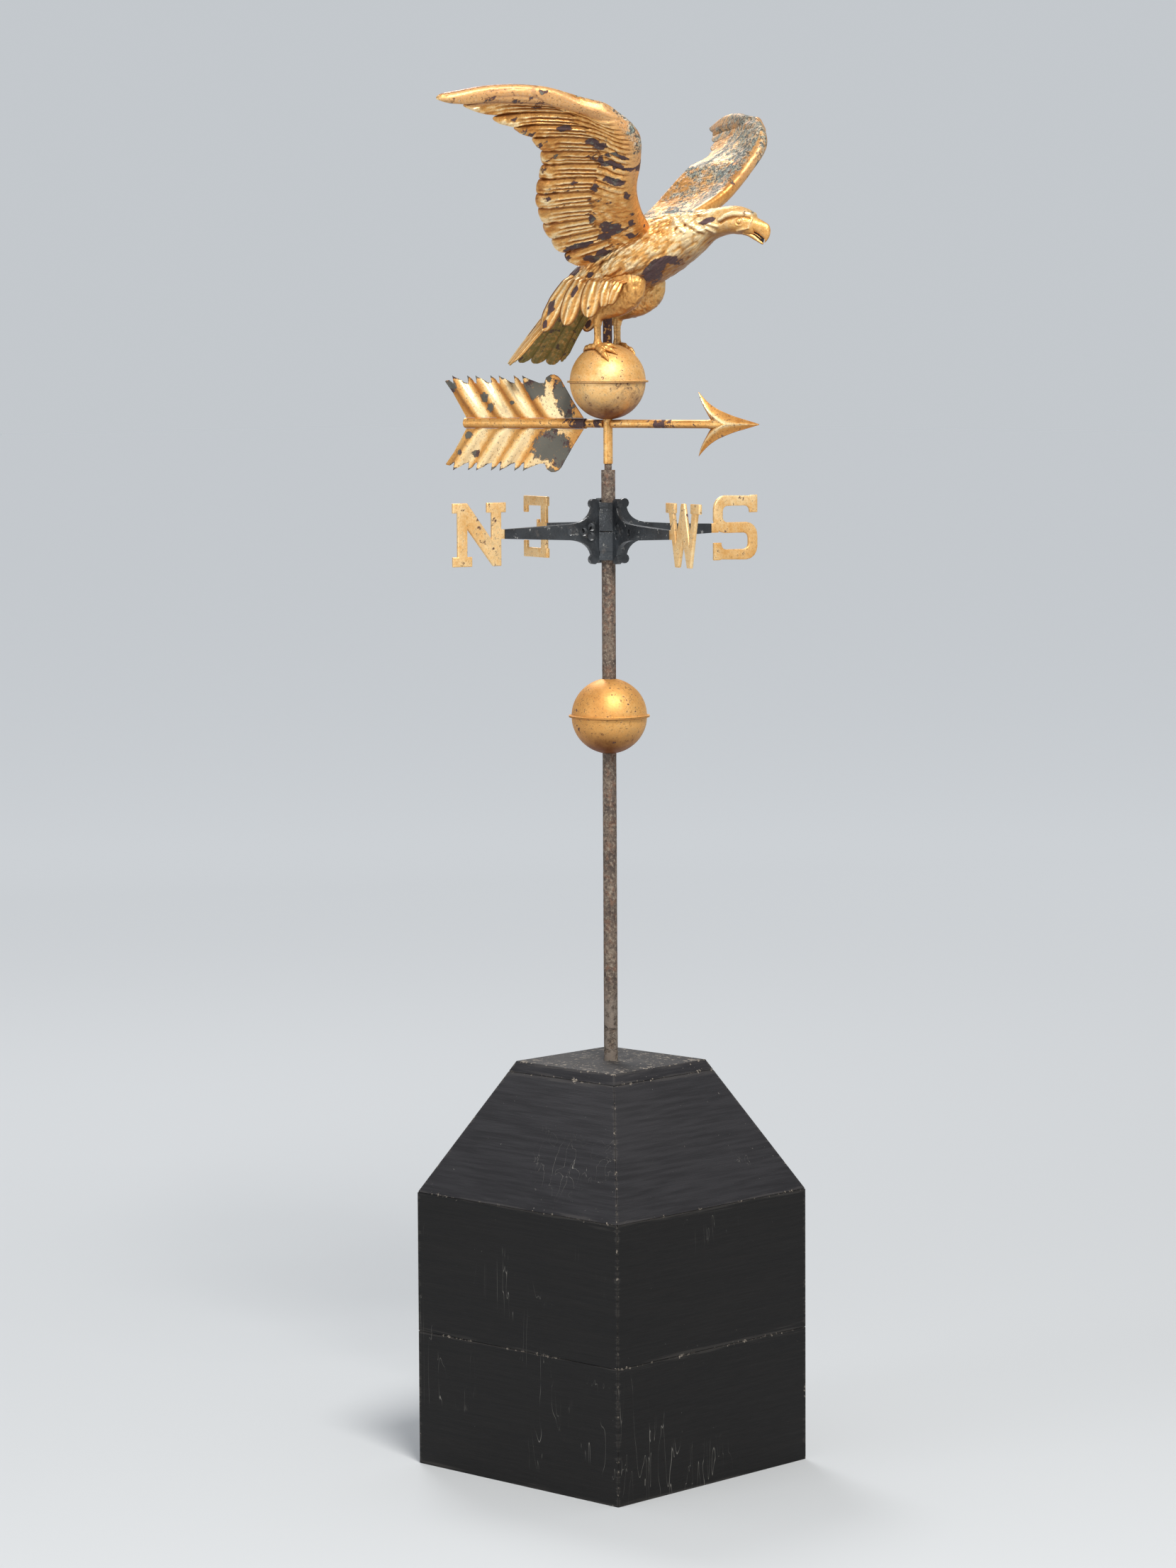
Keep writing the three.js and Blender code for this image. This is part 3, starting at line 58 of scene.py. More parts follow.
# Sizes, and the heights that the frame holds
VANE_HEADING = math.radians(13.5)
GLOBE_RADIUS = 54.5 * MM
SEAM_GAP = 0.3 * MM
ARROW_AXIS = (bottom_of("arrow_front_shaft") + top_of("arrow_front_shaft")) / 2
GLOBE_CENTRE = bottom_of("upper_globe_top_half") - SEAM_GAP / 2
LOWER_GLOBE_CENTRE = bottom_of("lower_globe_top_half") - SEAM_GAP / 2
PERCH = GLOBE_CENTRE + GLOBE_RADIUS
MAST_TOP = top_of("mast_pipe")
BOX_TOP = top_of("box_upper_board_1")
TIER_SEAM = top_of("box_lower_board_1")
CAP_TOP = top_of("cap_top_plate")
CAP_PLATE = 15 * MM
BASE_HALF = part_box("box_upper_board_1")[1][1]
CAP_TOP_HALF = 97.3 * MM
EAGLE_LENGTH = 432 * MM

# Smooth noise for hammered and chiselled surfaces
LATTICE_SIZE = 65536
LATTICE = np.random.default_rng(7).random(LATTICE_SIZE) * 2 - 1
CELL_PRIMES = np.array([73856093, 19349663, 83492791])
GRAIN_SHIFT, SCALE_SHIFT = 17.3, 11.7


def in_cells(points, size, shift):
    """Points in shares of size, moved by shift, and the cube of space that each lies in."""
    place = np.asarray(points, float) / size + shift
    return place, np.floor(place).astype(np.int64)


def lattice_index(cell):
    mixed = cell * CELL_PRIMES
    return (mixed[:, 0] ^ mixed[:, 1] ^ mixed[:, 2]) & (LATTICE_SIZE - 1)


def grain(points, size, seed):
    """Smooth noise from -1 to 1 at points, its lumps about size metres across."""
    place, cell = in_cells(points, size, seed * GRAIN_SHIFT)
    part = place - cell
    blend = part * part * (3 - 2 * part)
    total = np.zeros(len(place))
    for corner in np.ndindex(2, 2, 2):
        weight = np.prod(np.where(np.array(corner, bool), blend, 1 - blend), axis=1)
        total += LATTICE[lattice_index(cell + np.array(corner))] * weight
    return total


def lumps(points, size, octaves, seed):
    """Several sizes of noise together, each half the size and strength of the last."""
    return sum(grain(points, size / 2**k, seed + k) / 2**k for k in range(octaves))


def scales(points, size, seed):
    """Distance from the nearest of many scattered points, in shares of size."""
    place, cell = in_cells(points, size, seed * SCALE_SHIFT)
    nearest = np.full(len(place), np.inf)
    for step in np.ndindex(3, 3, 3):
        key = cell + np.array(step) - 1
        index = lattice_index(key)
        draws = [LATTICE[(index * (3 + i) + 101 * i) & (LATTICE_SIZE - 1)] for i in range(3)]
        jitter = np.stack(draws, -1) * 0.45 + 0.5
        nearest = np.minimum(nearest, np.linalg.norm(key + jitter - place, axis=1))
    return nearest


def ramp(value, low, high):
    """Smooth rise from 0 at low to 1 at high."""
    share = np.clip((value - low) / (high - low), 0, 1)
    return share * share * (3 - 2 * share)


def bell(value, centre, width):
    """A smooth hump of height 1 round centre."""
    return np.exp(-(((value - centre) / width) ** 2))


def dome(value):
    """The root of a share, which rounds off what starts at 0."""
    return np.sqrt(np.clip(value, 0, 1))


def rounded_ends(share, blunt):
    """1 along a form, closing in a round end over a share of blunt at both ends."""
    return dome(np.minimum(share, 1 - share) / blunt)


def cushion(share):
    """Rounded strips: 1 along a strip's middle and 0 where it meets the next."""
    w = share - np.floor(share)
    return dome(1 - (2 * w - 1) ** 2)


def patch_field(away):
    """0 well outside a bare patch and over 1 at its middle; away counts its half sizes."""
    return np.clip(1.45 - away * 0.95, 0, 1.2)


def patches(u, v, places):
    """The field of several bare patches, each given by its middle and its half sizes."""
    field = np.zeros(len(u))
    for at_u, at_v, half_u, half_v in places:
        field = np.maximum(field, patch_field(np.hypot((u - at_u) / half_u, (v - at_v) / half_v)))
    return field


def spline(points, share):
    """A curve through points, with spacing taken from the distances between them."""
    p = np.asarray(points, float)
    x = (len(p) - 1) * np.clip(np.asarray(share, float), 0, 1)
    i = np.minimum(np.floor(x).astype(int), len(p) - 2)
    w = (x - i)[..., None]
    run = np.vstack([2 * p[0] - p[1], p, 2 * p[-1] - p[-2]])
    p0, p1, p2, p3 = run[i], run[i + 1], run[i + 2], run[i + 3]

    def gap(a, b):
        return np.maximum((((a - b) ** 2).sum(-1)) ** 0.25, 1e-6)[..., None]

    a, b, c = gap(p0, p1), gap(p1, p2), gap(p2, p3)
    leave = ((p1 - p0) / a - (p2 - p0) / (a + b) + (p2 - p1) / b) * b
    arrive = ((p2 - p1) / b - (p3 - p1) / (b + c) + (p3 - p2) / c) * b
    bend = -3 * p1 + 3 * p2 - 2 * leave - arrive
    return p1 + leave * w + bend * w * w + (2 * p1 - 2 * p2 + leave + arrive) * w**3


def bird(shares):
    """The vane's own points from shares of the eagle's length: forwards, right, above the perch."""
    p = np.asarray(shares, float) * EAGLE_LENGTH
    return np.stack([p[..., 0], -p[..., 1], p[..., 2] + PERCH], -1)


def on_vane(points):
    """Points of the vane's own turned about the mast's axis to its heading."""
    c, s = math.cos(VANE_HEADING), math.sin(VANE_HEADING)
    x, y = points[:, 0] * c - points[:, 1] * s, points[:, 0] * s + points[:, 1] * c
    return np.stack([x, y, points[:, 2]], -1)


def in_plane(x, z):
    """Points in the eagle's middle plane."""
    return np.stack([x, np.zeros(len(x)), z], -1)


def pushed(points, directions, distances):
    """Points moved along directions, each by its distance."""
    return points + directions * distances[:, None]


def unit(rows):
    """A direction, or rows of them, at length 1."""
    return rows / np.maximum(np.linalg.norm(rows, axis=-1, keepdims=True), 1e-12)


# Mesh building, with the gap that is joined in metres and the angles of edges in degrees
JOIN_GAP = 4e-6
HARD_ANGLE, FLAT_ANGLE = 25, 3


def vertex_places(bm):
    return np.array([v.co[:] for v in bm.verts])


def vertex_normals(bm):
    bm.normal_update()
    return np.array([v.normal[:] for v in bm.verts])


def dressed(bm, points, marks):
    """Moves the vertices to points and paints marks on them, each a name with one value or many."""
    count = len(bm.verts)
    layers = [(bm.verts.layers.float.new(key), np.broadcast_to(value, count)) for key, value in marks.items()]
    for i, v in enumerate(bm.verts):
        v.co = points[i]
        for layer, values in layers:
            v[layer] = values[i]
    return bm


def skin(columns, rows, place):
    """A grid of faces; place(a, b) gives the points and the marks of two shares from 0 to 1."""
    bm = bmesh.new()
    bmesh.ops.create_grid(bm, x_segments=columns, y_segments=rows, size=1)
    a, b, _ = (vertex_places(bm) / 2 + 0.5).T
    return dressed(bm, *place(a, b))


def closed(bm):
    """Joins the grid's meeting edges and poles and points the faces outwards."""
    bmesh.ops.remove_doubles(bm, verts=bm.verts, dist=JOIN_GAP)
    bmesh.ops.dissolve_degenerate(bm, edges=bm.edges, dist=1e-7)
    bmesh.ops.recalc_face_normals(bm, faces=bm.faces)
    return bm


def sheet(bm, thickness):
    """Gives an open grid of faces the thickness of its metal sheet."""
    closed(bm)
    bmesh.ops.solidify(bm, geom=bm.faces[:], thickness=thickness)
    bmesh.ops.recalc_face_normals(bm, faces=bm.faces)
    return bm


def merged(parts):
    """Several bmeshes as one."""
    whole = bmesh.new()
    for part in parts:
        mesh = bpy.data.meshes.new("part")
        part.to_mesh(mesh)
        part.free()
        whole.from_mesh(mesh)
        bpy.data.meshes.remove(mesh)
    return whole


def piece(name, bm, material, body, covers, sharp):
    """Makes the object, smooth but for edges over the sharp angle, and sets it on its body."""
    mesh = bpy.data.meshes.new(name)
    bm.to_mesh(mesh)
    bm.free()
    mesh.shade_smooth()
    mesh.set_sharp_from_angle(angle=math.radians(sharp))
    mesh.materials.append(material)
    made = bpy.data.objects.new(name, mesh)
    bpy.context.collection.objects.link(made)
    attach(made, body)
    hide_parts(*covers)


def lathe(profile, steps, height=0.0):
    """A turned form about the mast's axis from (radius, height) pairs in millimetres."""
    bm = bmesh.new()
    ring = [bm.verts.new((r * MM, 0, z * MM + height)) for r, z in profile]
    pairs = list(zip(ring, ring[1:]))
    if profile[0][0] > 0 or profile[-1][0] > 0:
        pairs.append((ring[-1], ring[0]))
    edges = [bm.edges.new(pair) for pair in pairs]
    bmesh.ops.spin(bm, geom=ring + edges, cent=(0, 0, 0), axis=(0, 0, 1), dvec=(0, 0, 0),
                   angle=math.tau, steps=steps, use_merge=True, use_duplicate=False)
    return closed(bm)


def rumple(bm, size, depth, octaves, seed):
    """Moves the surface in and out by noise, as hammering and casting do."""
    points = vertex_places(bm)
    shift = lumps(points, size, octaves, seed) * depth
    return dressed(bm, pushed(points, vertex_normals(bm), shift), {})


def softened(node, width, segments):
    """A copy of a node's solid with its hard edges rounded by width millimetres."""
    bm = bmesh.new()
    bm.from_mesh(nodes[node].data)
    bmesh.ops.remove_doubles(bm, verts=bm.verts, dist=1e-5)
    bmesh.ops.dissolve_limit(bm, angle_limit=math.radians(FLAT_ANGLE), verts=bm.verts, edges=bm.edges)
    least = math.radians(HARD_ANGLE)
    hard = [e for e in bm.edges if len(e.link_faces) == 2 and e.calc_face_angle(0) > least]
    bmesh.ops.bevel(bm, geom=hard, offset=width * MM, offset_type="OFFSET", segments=segments,
                    profile=0.5, affect="EDGES", clamp_overlap=True, material=-1)
    bmesh.ops.triangulate(bm, faces=[f for f in bm.faces if len(f.verts) > 4])
    return bm


# Material building
def tone(red, green, blue):
    """A colour from its picture values, 0 to 255."""
    def light(value):
        v = value / 255
        return v / 12.92 if v <= 0.04045 else ((v + 0.055) / 1.055) ** 2.4
    return (light(red), light(green), light(blue), 1.0)


class Value:
    """A socket of a material's nodes, with arithmetic that adds Math nodes."""

    def __init__(self, finish, socket):
        self.finish, self.socket = finish, socket

    def math(self, operation, *others):
        return self.finish.node("ShaderNodeMath", {"operation": operation}, (self, *others))

    def __add__(self, other):
        return self.math("ADD", other)

    __radd__ = __add__

    def __sub__(self, other):
        return self.math("SUBTRACT", other)

    def __rsub__(self, other):
        return self.finish.node("ShaderNodeMath", {"operation": "SUBTRACT"}, (other, self))

    def __mul__(self, other):
        return self.math("MULTIPLY", other)

    def __pow__(self, other):
        return self.math("POWER", other)

    def __abs__(self):
        return self.math("ABSOLUTE")

    def least(self, other):
        return self.math("MINIMUM", other)

    def most(self, other):
        return self.math("MAXIMUM", other)

    def rise(self, low, high):
        """0 below low, 1 above high, smooth between."""
        inputs = {"Value": self, "From Min": low, "From Max": high}
        return self.finish.node("ShaderNodeMapRange", {"interpolation_type": "SMOOTHSTEP"}, inputs)


class Finish:
    """One material of the object and the nodes that it is made from."""

    def __init__(self, name):
        self.material = bpy.data.materials.new(name)
        self.material.use_nodes = True
        self.tree = self.material.node_tree
        self.shader = self.tree.nodes["Principled BSDF"]
        self.place = self.node("ShaderNodeTexCoord", {}, {}, "Object")

    def node(self, kind, settings, inputs, output=0):
        made = self.tree.nodes.new(kind)
        for key, value in settings.items():
            setattr(made, key, value)
        pairs = inputs.items() if isinstance(inputs, dict) else enumerate(inputs)
        for key, value in pairs:
            self.feed(made.inputs[key], value)
        return Value(self, made.outputs[output])

    def feed(self, socket, value):
        if isinstance(value, Value):
            self.tree.links.new(value.socket, socket)
        else:
            socket.default_value = value

    def noise(self, scale, detail=3.0, rough=0.55, stretch=(1, 1, 1), twist=0.0):
        place = self.place
        if stretch != (1, 1, 1):
            place = self.node("ShaderNodeMapping", {}, {"Vector": place, "Scale": stretch})
        inputs = {"Vector": place, "Scale": scale, "Detail": detail, "Roughness": rough,
                  "Distortion": twist}
        return self.node("ShaderNodeTexNoise", {}, inputs)

    def cells(self, scale):
        """The distance from the nearest of many scattered points."""
        return self.node("ShaderNodeTexVoronoi", {}, {"Vector": self.place, "Scale": scale}, "Distance")

    def strokes(self, pattern, scale, pitch, long):
        """A pattern drawn out along the bird, at a slope of pitch degrees."""
        turn = (0.0, -math.radians(pitch), VANE_HEADING)
        plain = self.place
        self.place = self.node("ShaderNodeMapping", {"vector_type": "TEXTURE"},
                               {"Vector": plain, "Rotation": turn, "Scale": (long, 1.0, 1.0)})
        drawn = pattern(scale)
        self.place = plain
        return drawn

    def mark(self, name):
        """What the meshes carry under a name, and 0 on a mesh without it."""
        return self.node("ShaderNodeAttribute", {"attribute_name": name}, {}, "Fac")

    def downward(self):
        """1 where the surface faces the ground and -1 where it faces the sky."""
        normal = self.node("ShaderNodeNewGeometry", {}, {}, "Normal")
        return self.node("ShaderNodeSeparateXYZ", {}, {0: normal}, "Z") * -1

    def axes(self):
        parts = self.node("ShaderNodeSeparateXYZ", {}, {0: self.place})
        return [Value(self, parts.socket.node.outputs[i]) for i in range(3)]

    def blend(self, mask, first, second):
        """first where mask is 0 and second where it is 1."""
        made = self.tree.nodes.new("ShaderNodeMix")
        made.data_type = "RGBA"
        self.feed(made.inputs[0], mask)
        self.feed(made.inputs[6], first)
        self.feed(made.inputs[7], second)
        return Value(self, made.outputs[2])

    def bump(self, height, distance, strength=1.0):
        inputs = {"Height": height, "Distance": distance, "Strength": strength}
        return self.node("ShaderNodeBump", {}, inputs)

    def wear(self, **sockets):
        """Feeds the shader, whose inputs are named with underscores for spaces."""
        for key, value in sockets.items():
            self.feed(self.shader.inputs[key.replace("_", " ")], value)
        return self.material


# Worn gold leaf on copper
LEAF_DEEP = tone(194, 126, 56)
LEAF_MID = tone(238, 184, 108)
LEAF_PALE = tone(255, 232, 184)
# Dirt and painted shade: for hollows, grooves, chisel cuts and faces turned to the ground, and the dark rims
# of bare patches
DIRT_AND_PAINTED_SHADE = tone(118, 64, 24)
OCHRE = tone(186, 132, 78)
BARE_BROWN = tone(80, 58, 58)
BARE_GREY = tone(100, 97, 88)
VERDIGRIS = tone(128, 142, 134)
CHALK = tone(188, 188, 176)
SOOT = tone(62, 60, 58)
OLIVE = tone(120, 112, 56)
ROSY = tone(216, 176, 136)
SMUDGE = tone(140, 92, 52)
# Painted shade for the dark form inside the open mouth
PAINTED_MOUTH_SHADE = tone(24, 17, 15)


def gilt(name, cream=0.5, wear=0.5, grime=0.5, pits=0.0, green_below=0.0, grey=0.3, texture=1.0, satin=0.0,
         stroke=0, pitch=0.0, contrast=1.0, cuts=0.0, underside=0.0, polish=1.0, ragged=1.0):
    """Gold leaf, its wear and its dirt; stroke is the chisel marks' fineness and pitch their slope.

    The meshes carry the marks: raised is leaf rubbed bright on ridges and also painted highlight, with
    painted shade where it is below 0; crevice is dirt and also painted shade in hollows, grooves and folds;
    worn is bare metal, patina is weathered, rosy is thin pinkish leaf, even has no chisel marks and gape is
    the dark, painted shade inside the open mouth. The underside argument darkens faces turned to the ground
    with dirt and painted shade.
    """
    f = Finish(name)
    broad = f.noise(8, 2)
    cloud = f.noise(30, 4, 0.6)
    crumb = f.noise(130, 4, 0.65)
    fine = f.noise(420, 3, 0.65)
    rubbed_and_painted_light, rosy, painted_mouth_shade, even = (f.mark(key) for key in ("rubbed_and_painted_light", "rosy", "painted_mouth_shade", "even"))
    streak = f.strokes(f.noise, 60, pitch, 3.2) if stroke else crumb
    tonal = broad * 0.3 + cloud * 0.25 + crumb * 0.25 + fine * 0.2 + (cream - 0.5) * 0.16
    # raised makes the leaf lighter on ridges: rubbed bright, and a painted highlight as well
    pale = (tonal + rubbed_and_painted_light * 0.16).rise(0.5 - 0.17 / contrast, 0.5 + 0.13 / contrast)
    leaf = f.blend(pale, LEAF_DEEP, LEAF_MID)
    leaf = f.blend((tonal + rubbed_and_painted_light * 0.22).rise(0.52, 0.72 + 0.1 * satin) * 0.85, leaf, LEAF_PALE)
    leaf = f.blend((crumb * 0.5 + fine * 0.5).rise(0.55, 0.66) * grime * 0.4, leaf, OCHRE)
    # Dirt and painted shade in the hollows, less on ridges
    dirt_and_painted_shade_mask = (f.mark("dirt_and_painted_shade") + rubbed_and_painted_light * -0.45 + (crumb - 0.5) * 0.6).rise(0.12, 0.95)
    leaf = f.blend(dirt_and_painted_shade_mask * 0.8, leaf, DIRT_AND_PAINTED_SHADE)
    if stroke:
        # The chisel cuts take the colour of dirt and painted shade
        chisel = f.strokes(f.cells, stroke, pitch, 2.6)
        nicks = (chisel + (crumb - 0.5) * 0.5 + (cloud - 0.5) * 0.6 - rubbed_and_painted_light * 0.15).rise(0.5, 0.85)
        leaf = f.blend(nicks * (1 - even) * cuts, leaf, DIRT_AND_PAINTED_SHADE)
    leaf = f.blend(rosy * (0.55 + fine * 0.4), leaf, ROSY)
    specks = f.noise(330, 3, 0.7)
    leaf = f.blend((crumb * 0.6 + fine * 0.4).rise(0.53, 0.62) * rosy, leaf, LEAF_DEEP)
    leaf = f.blend(specks.rise(0.6, 0.64) * rosy, leaf, CHALK)
    leaf = f.blend((1 - specks.rise(0.36, 0.41)) * (rosy * 0.8 + grime * 0.45), leaf, BARE_BROWN)
    # Painted shade, with dirt, on the faces that turn to the ground
    if underside:
        below = (f.downward() + (cloud - 0.5) * 0.8 + (crumb - 0.5) * 0.4).rise(0.1, 1.0) * underside
        leaf = f.blend(below, leaf, DIRT_AND_PAINTED_SHADE)
    field = (crumb - 0.5) * 1.1 + (cloud - 0.5) * 0.7 + (streak - 0.5) * 2.0
    field = f.mark("worn") + field * ragged + rubbed_and_painted_light * 0.12
    stray = f.noise(24, 6, 0.64, twist=0.6) * 0.75 + streak * 0.25 + (crumb - 0.5) * 0.2
    bare = field.rise(0.5, 0.55).most(stray.rise(0.7 - 0.07 * wear, 0.71 - 0.07 * wear))
    leaf = f.blend(field.rise(0.36, 0.5) * 0.65, leaf, DIRT_AND_PAINTED_SHADE)
    metal = f.blend((f.noise(52, 4) + (fine - 0.5) * 0.3).rise(0.62 - 0.2 * grey, 0.7 - 0.2 * grey),
                    BARE_BROWN, BARE_GREY)
    metal = f.blend((fine * 0.6 + crumb * 0.4).rise(0.59, 0.65) * 0.4, metal, OCHRE)
    colour = f.blend(bare, leaf, metal)
    age = f.mark("patina") + (cloud - 0.5) * 1.2 + (crumb - 0.5) * 0.9 + (streak - 0.5) * 0.8
    powder = f.blend((f.noise(46, 4) + (fine - 0.5) * 0.4).rise(0.5, 0.64), VERDIGRIS, CHALK)
    bloom = age.rise(0.62, 0.95) * (0.45 + crumb.rise(0.4, 0.6) * 0.45)
    soot = (f.noise(300, 5, 0.75) + (age - 0.6) * 0.12).rise(0.53, 0.57) * age.rise(0.5, 0.8)
    colour = f.blend(bloom, colour, powder)
    colour = f.blend(soot * 0.9, colour, SOOT)
    if pits:
        dots = (1 - f.cells(190).rise(0.08, 0.18)) * f.noise(23, 2).rise(0.54, 0.64) * pits
        smudge = (crumb * 0.5 + cloud * 0.5).rise(0.5, 0.58) * f.noise(13, 3).rise(0.54, 0.66)
        colour = f.blend(smudge * 0.35 * satin, colour, SMUDGE)
        rubs = (crumb * 0.5 + fine * 0.5).rise(0.56, 0.62) * smudge
        colour = f.blend(dots.most(rubs * 0.7) * 0.85, colour, BARE_BROWN)
    if green_below:
        below = (f.downward() + (cloud - 0.5) * 0.7).rise(-0.02, 0.25) * green_below
        colour = f.blend(below * (0.4 + crumb.rise(0.35, 0.55) * 0.5), colour, OLIVE)
        spots = (f.noise(64, 3) + (crumb - 0.5) * 0.3).rise(0.6, 0.64) * below
        colour = f.blend(spots * 0.8, colour, BARE_BROWN)
        bare = bare.most(below * 0.6)
    dull = bare.most(bloom)
    # The mouth's inside is painted shade: dark, rough and not metallic
    colour = f.blend(painted_mouth_shade, colour, PAINTED_MOUTH_SHADE)
    roughness = 0.3 / polish + satin * 0.1 + cloud * 0.1 + dull * 0.3 + fine * 0.14
    roughness = roughness + rosy * 0.14 + painted_mouth_shade * 0.4
    metallic = (1 - dull * 0.8) * (1 - painted_mouth_shade) * (0.66 - 0.06 * satin) - rosy * 0.2
    if stroke:
        cut = (1 - chisel.rise(0.0, 0.9) + streak * 0.9) * (1 - even)
        height = cut + crumb * 0.4 + fine * 0.15 - bare * 0.25
    else:
        height = crumb * 0.5 + fine * 0.3 + cloud * 0.5 - bare * 0.25
    normal = f.bump(height, 0.0012 * texture, 0.9)
    return f.wear(Base_Color=colour, Roughness=roughness, Metallic=metallic, Normal=normal)


def rusty_iron():
    """Pitted brown rust, with pale scabs along the mast's foot."""
    f = Finish("rusty_iron")
    broad, fine, grit = f.noise(16, 4), f.noise(90, 5, 0.65), f.noise(520, 4, 0.7)
    colour = f.blend(broad.rise(0.38, 0.62), tone(84, 72, 64), tone(114, 99, 86))
    colour = f.blend(fine.rise(0.48, 0.64) * 0.75, colour, tone(122, 90, 72))
    colour = f.blend(f.noise(150, 5, 0.7).rise(0.6, 0.68) * 0.8, colour, tone(58, 50, 48))
    mottle = f.noise(210, 5, 0.75)
    colour = f.blend(mottle.rise(0.52, 0.6) * 0.7, colour, tone(150, 138, 122))
    colour = f.blend((1 - mottle.rise(0.4, 0.47)) * 0.75, colour, tone(56, 47, 44))
    scab = (fine + f.noise(40, 3) * 0.4).rise(0.62, 0.72)
    foot = 1 - f.axes()[2].rise(CAP_TOP + 60 * MM, CAP_TOP + 130 * MM)
    colour = f.blend(scab * foot * 0.8, colour, tone(128, 118, 108))
    height = fine * 0.6 + grit * 0.5 + mottle * 0.9 + scab * foot * 1.5
    return f.wear(Base_Color=colour, Roughness=0.72 + grit * 0.2, Metallic=0.15,
                  Normal=f.bump(height, 0.0012, 0.9))


def black_casting():
    """Glossy black paint, chipped to grey."""
    f = Finish("black_casting")
    broad, fine = f.noise(20, 4), f.noise(240, 4, 0.6)
    colour = f.blend(broad.rise(0.35, 0.65), tone(20, 22, 25), tone(46, 50, 54))
    chips = (f.noise(85, 6, 0.7) + (broad - 0.5) * 0.2).rise(0.62, 0.66)
    colour = f.blend(chips * 0.8, colour, tone(142, 142, 140))
    colour = f.blend(f.noise(30, 5, 0.7).rise(0.6, 0.68) * 0.5, colour, tone(96, 88, 82))
    height = fine * 0.5 + f.noise(60, 3) * 0.9 - chips * 0.4
    return f.wear(Base_Color=colour, Roughness=0.24 + broad * 0.16 + chips * 0.3, Metallic=0.1,
                  Specular_IOR_Level=0.7, Normal=f.bump(height, 0.0014, 0.8))


def turned_steel():
    f = Finish("turned_steel")
    rings = f.noise(40, 3, stretch=(0.1, 0.1, 30))
    colour = f.blend(rings.rise(0.35, 0.65), tone(96, 94, 92), tone(140, 138, 134))
    return f.wear(Base_Color=colour, Roughness=0.38 + rings * 0.2, Metallic=0.9, Normal=f.bump(rings, 0.0002))


def dark_wood(name, pale, dark, along, slope):
    """Brushed wood stain, scuffed along the edges; slope gives the half width at a height."""
    f = Finish(name)
    x, y, z = f.axes()
    edge = slope(z) - abs(x).least(abs(y))
    for level in (TIER_SEAM, BOX_TOP + SEAM_GAP, CAP_TOP - CAP_PLATE, CAP_TOP):
        edge = edge.least(abs(z - level))
    unworn = edge.least(z + 1 * MM) * 34
    brush = f.noise(26, 5, 0.6, stretch=along)
    streak = f.noise(90, 4, 0.6, stretch=along)
    broad = f.noise(6, 4)
    colour = f.blend(brush.rise(0.32, 0.68), dark, pale)
    colour = f.blend(broad.rise(0.45, 0.7) * 0.35, colour, pale)
    nick = f.noise(130, 5, 0.7)
    chip = (nick + (f.noise(17, 3) - 0.5) * 0.35 - unworn).rise(0.57, 0.6)
    colour = f.blend(chip * 0.85, colour, tone(150, 140, 128))
    rub = (brush - unworn).rise(0.36, 0.5)
    colour = f.blend(rub * 0.25, colour, tone(80, 76, 72))
    fleck = f.noise(240, 3, 0.7).rise(0.735, 0.75)
    scratch = f.noise(46, 2, 0.5, stretch=(1.0, 1.0, 0.12), twist=0.8)
    scratch = (1 - abs(scratch - 0.5).rise(0.0, 0.004)) * f.noise(7, 3).rise(0.55, 0.66)
    colour = f.blend(fleck.most(scratch * 0.6) * 0.8, colour, tone(170, 166, 158))
    height = brush * 0.5 + streak * 0.6 - chip * 1.2
    return f.wear(Base_Color=colour, Roughness=0.5 + streak * 0.25, Specular_IOR_Level=0.3,
                  Normal=f.bump(height, 0.0009, 0.7))


def box_slope(z):
    """The box's sides are plumb, so its half width is the same at every height."""
    return BASE_HALF


def cap_slope(z):
    """The cap's half width, which falls evenly to its top."""
    share = (z - BOX_TOP) * (1 / (CAP_TOP - BOX_TOP))
    return BASE_HALF + share * (CAP_TOP_HALF - BASE_HALF)


FEATHER_GILT = gilt("feather_gilt", cream=0.4, wear=-0.1, stroke=240, pitch=20, cuts=0.3, texture=0.6,
                    ragged=1.4)
BODY_GILT = gilt("body_gilt", cream=0.8, wear=0.3, grime=0.8, grey=0.1, stroke=260, pitch=34, cuts=0.4,
                 underside=0.8, texture=1.1)
TAIL_GILT = gilt("tail_gilt", cream=1.0, wear=0.8, green_below=1.0, texture=0.6, stroke=130, pitch=50)
GLOBE_GILT = gilt("globe_gilt", cream=1.2, wear=-0.9, grime=0.8, pits=0.35, texture=0.35, satin=1.0,
                  contrast=0.6, underside=1.0)
LOWER_GLOBE_GILT = gilt("lower_globe_gilt", cream=0.35, wear=-0.9, grime=1.2, pits=0.25, texture=0.35,
                        satin=1.0, contrast=0.7, underside=1.0)
ARROW_GILT = gilt("arrow_gilt", cream=0.7, wear=0.9, texture=0.7, grime=1.4, pits=0.7, underside=0.6)
FLETCHING_GILT = gilt("fletching_gilt", cream=0.9, wear=0.1, grey=1.2, texture=0.4, polish=0.8, ragged=0.6,
                      grime=1.2)
LETTER_GILT = gilt("letter_gilt", cream=1.4, wear=-1.2, grime=0.7, pits=0.25, texture=0.8, satin=0.6,
                   contrast=0.5)
IRON = rusty_iron()
CASTING = black_casting()
STEEL = turned_steel()
BOX_WOOD = dark_wood("box_wood", tone(16, 14, 13), tone(9, 8, 8), (0.3, 0.3, 9), box_slope)
CAP_WOOD = dark_wood("cap_wood", tone(42, 41, 44), tone(28, 27, 30), (0.4, 0.4, 7), cap_slope)


SIDES = (("right", False), ("left", True))

# Wings: the same four edge curves as the solids
FEATHERS = 13
WING_COLUMNS, WING_ROWS = FEATHERS * 32, 210
WING_DEPTH = 8.8 * MM
WING_CAMBER = 11 * MM
UNDER_RELIEF = 1.9 * MM
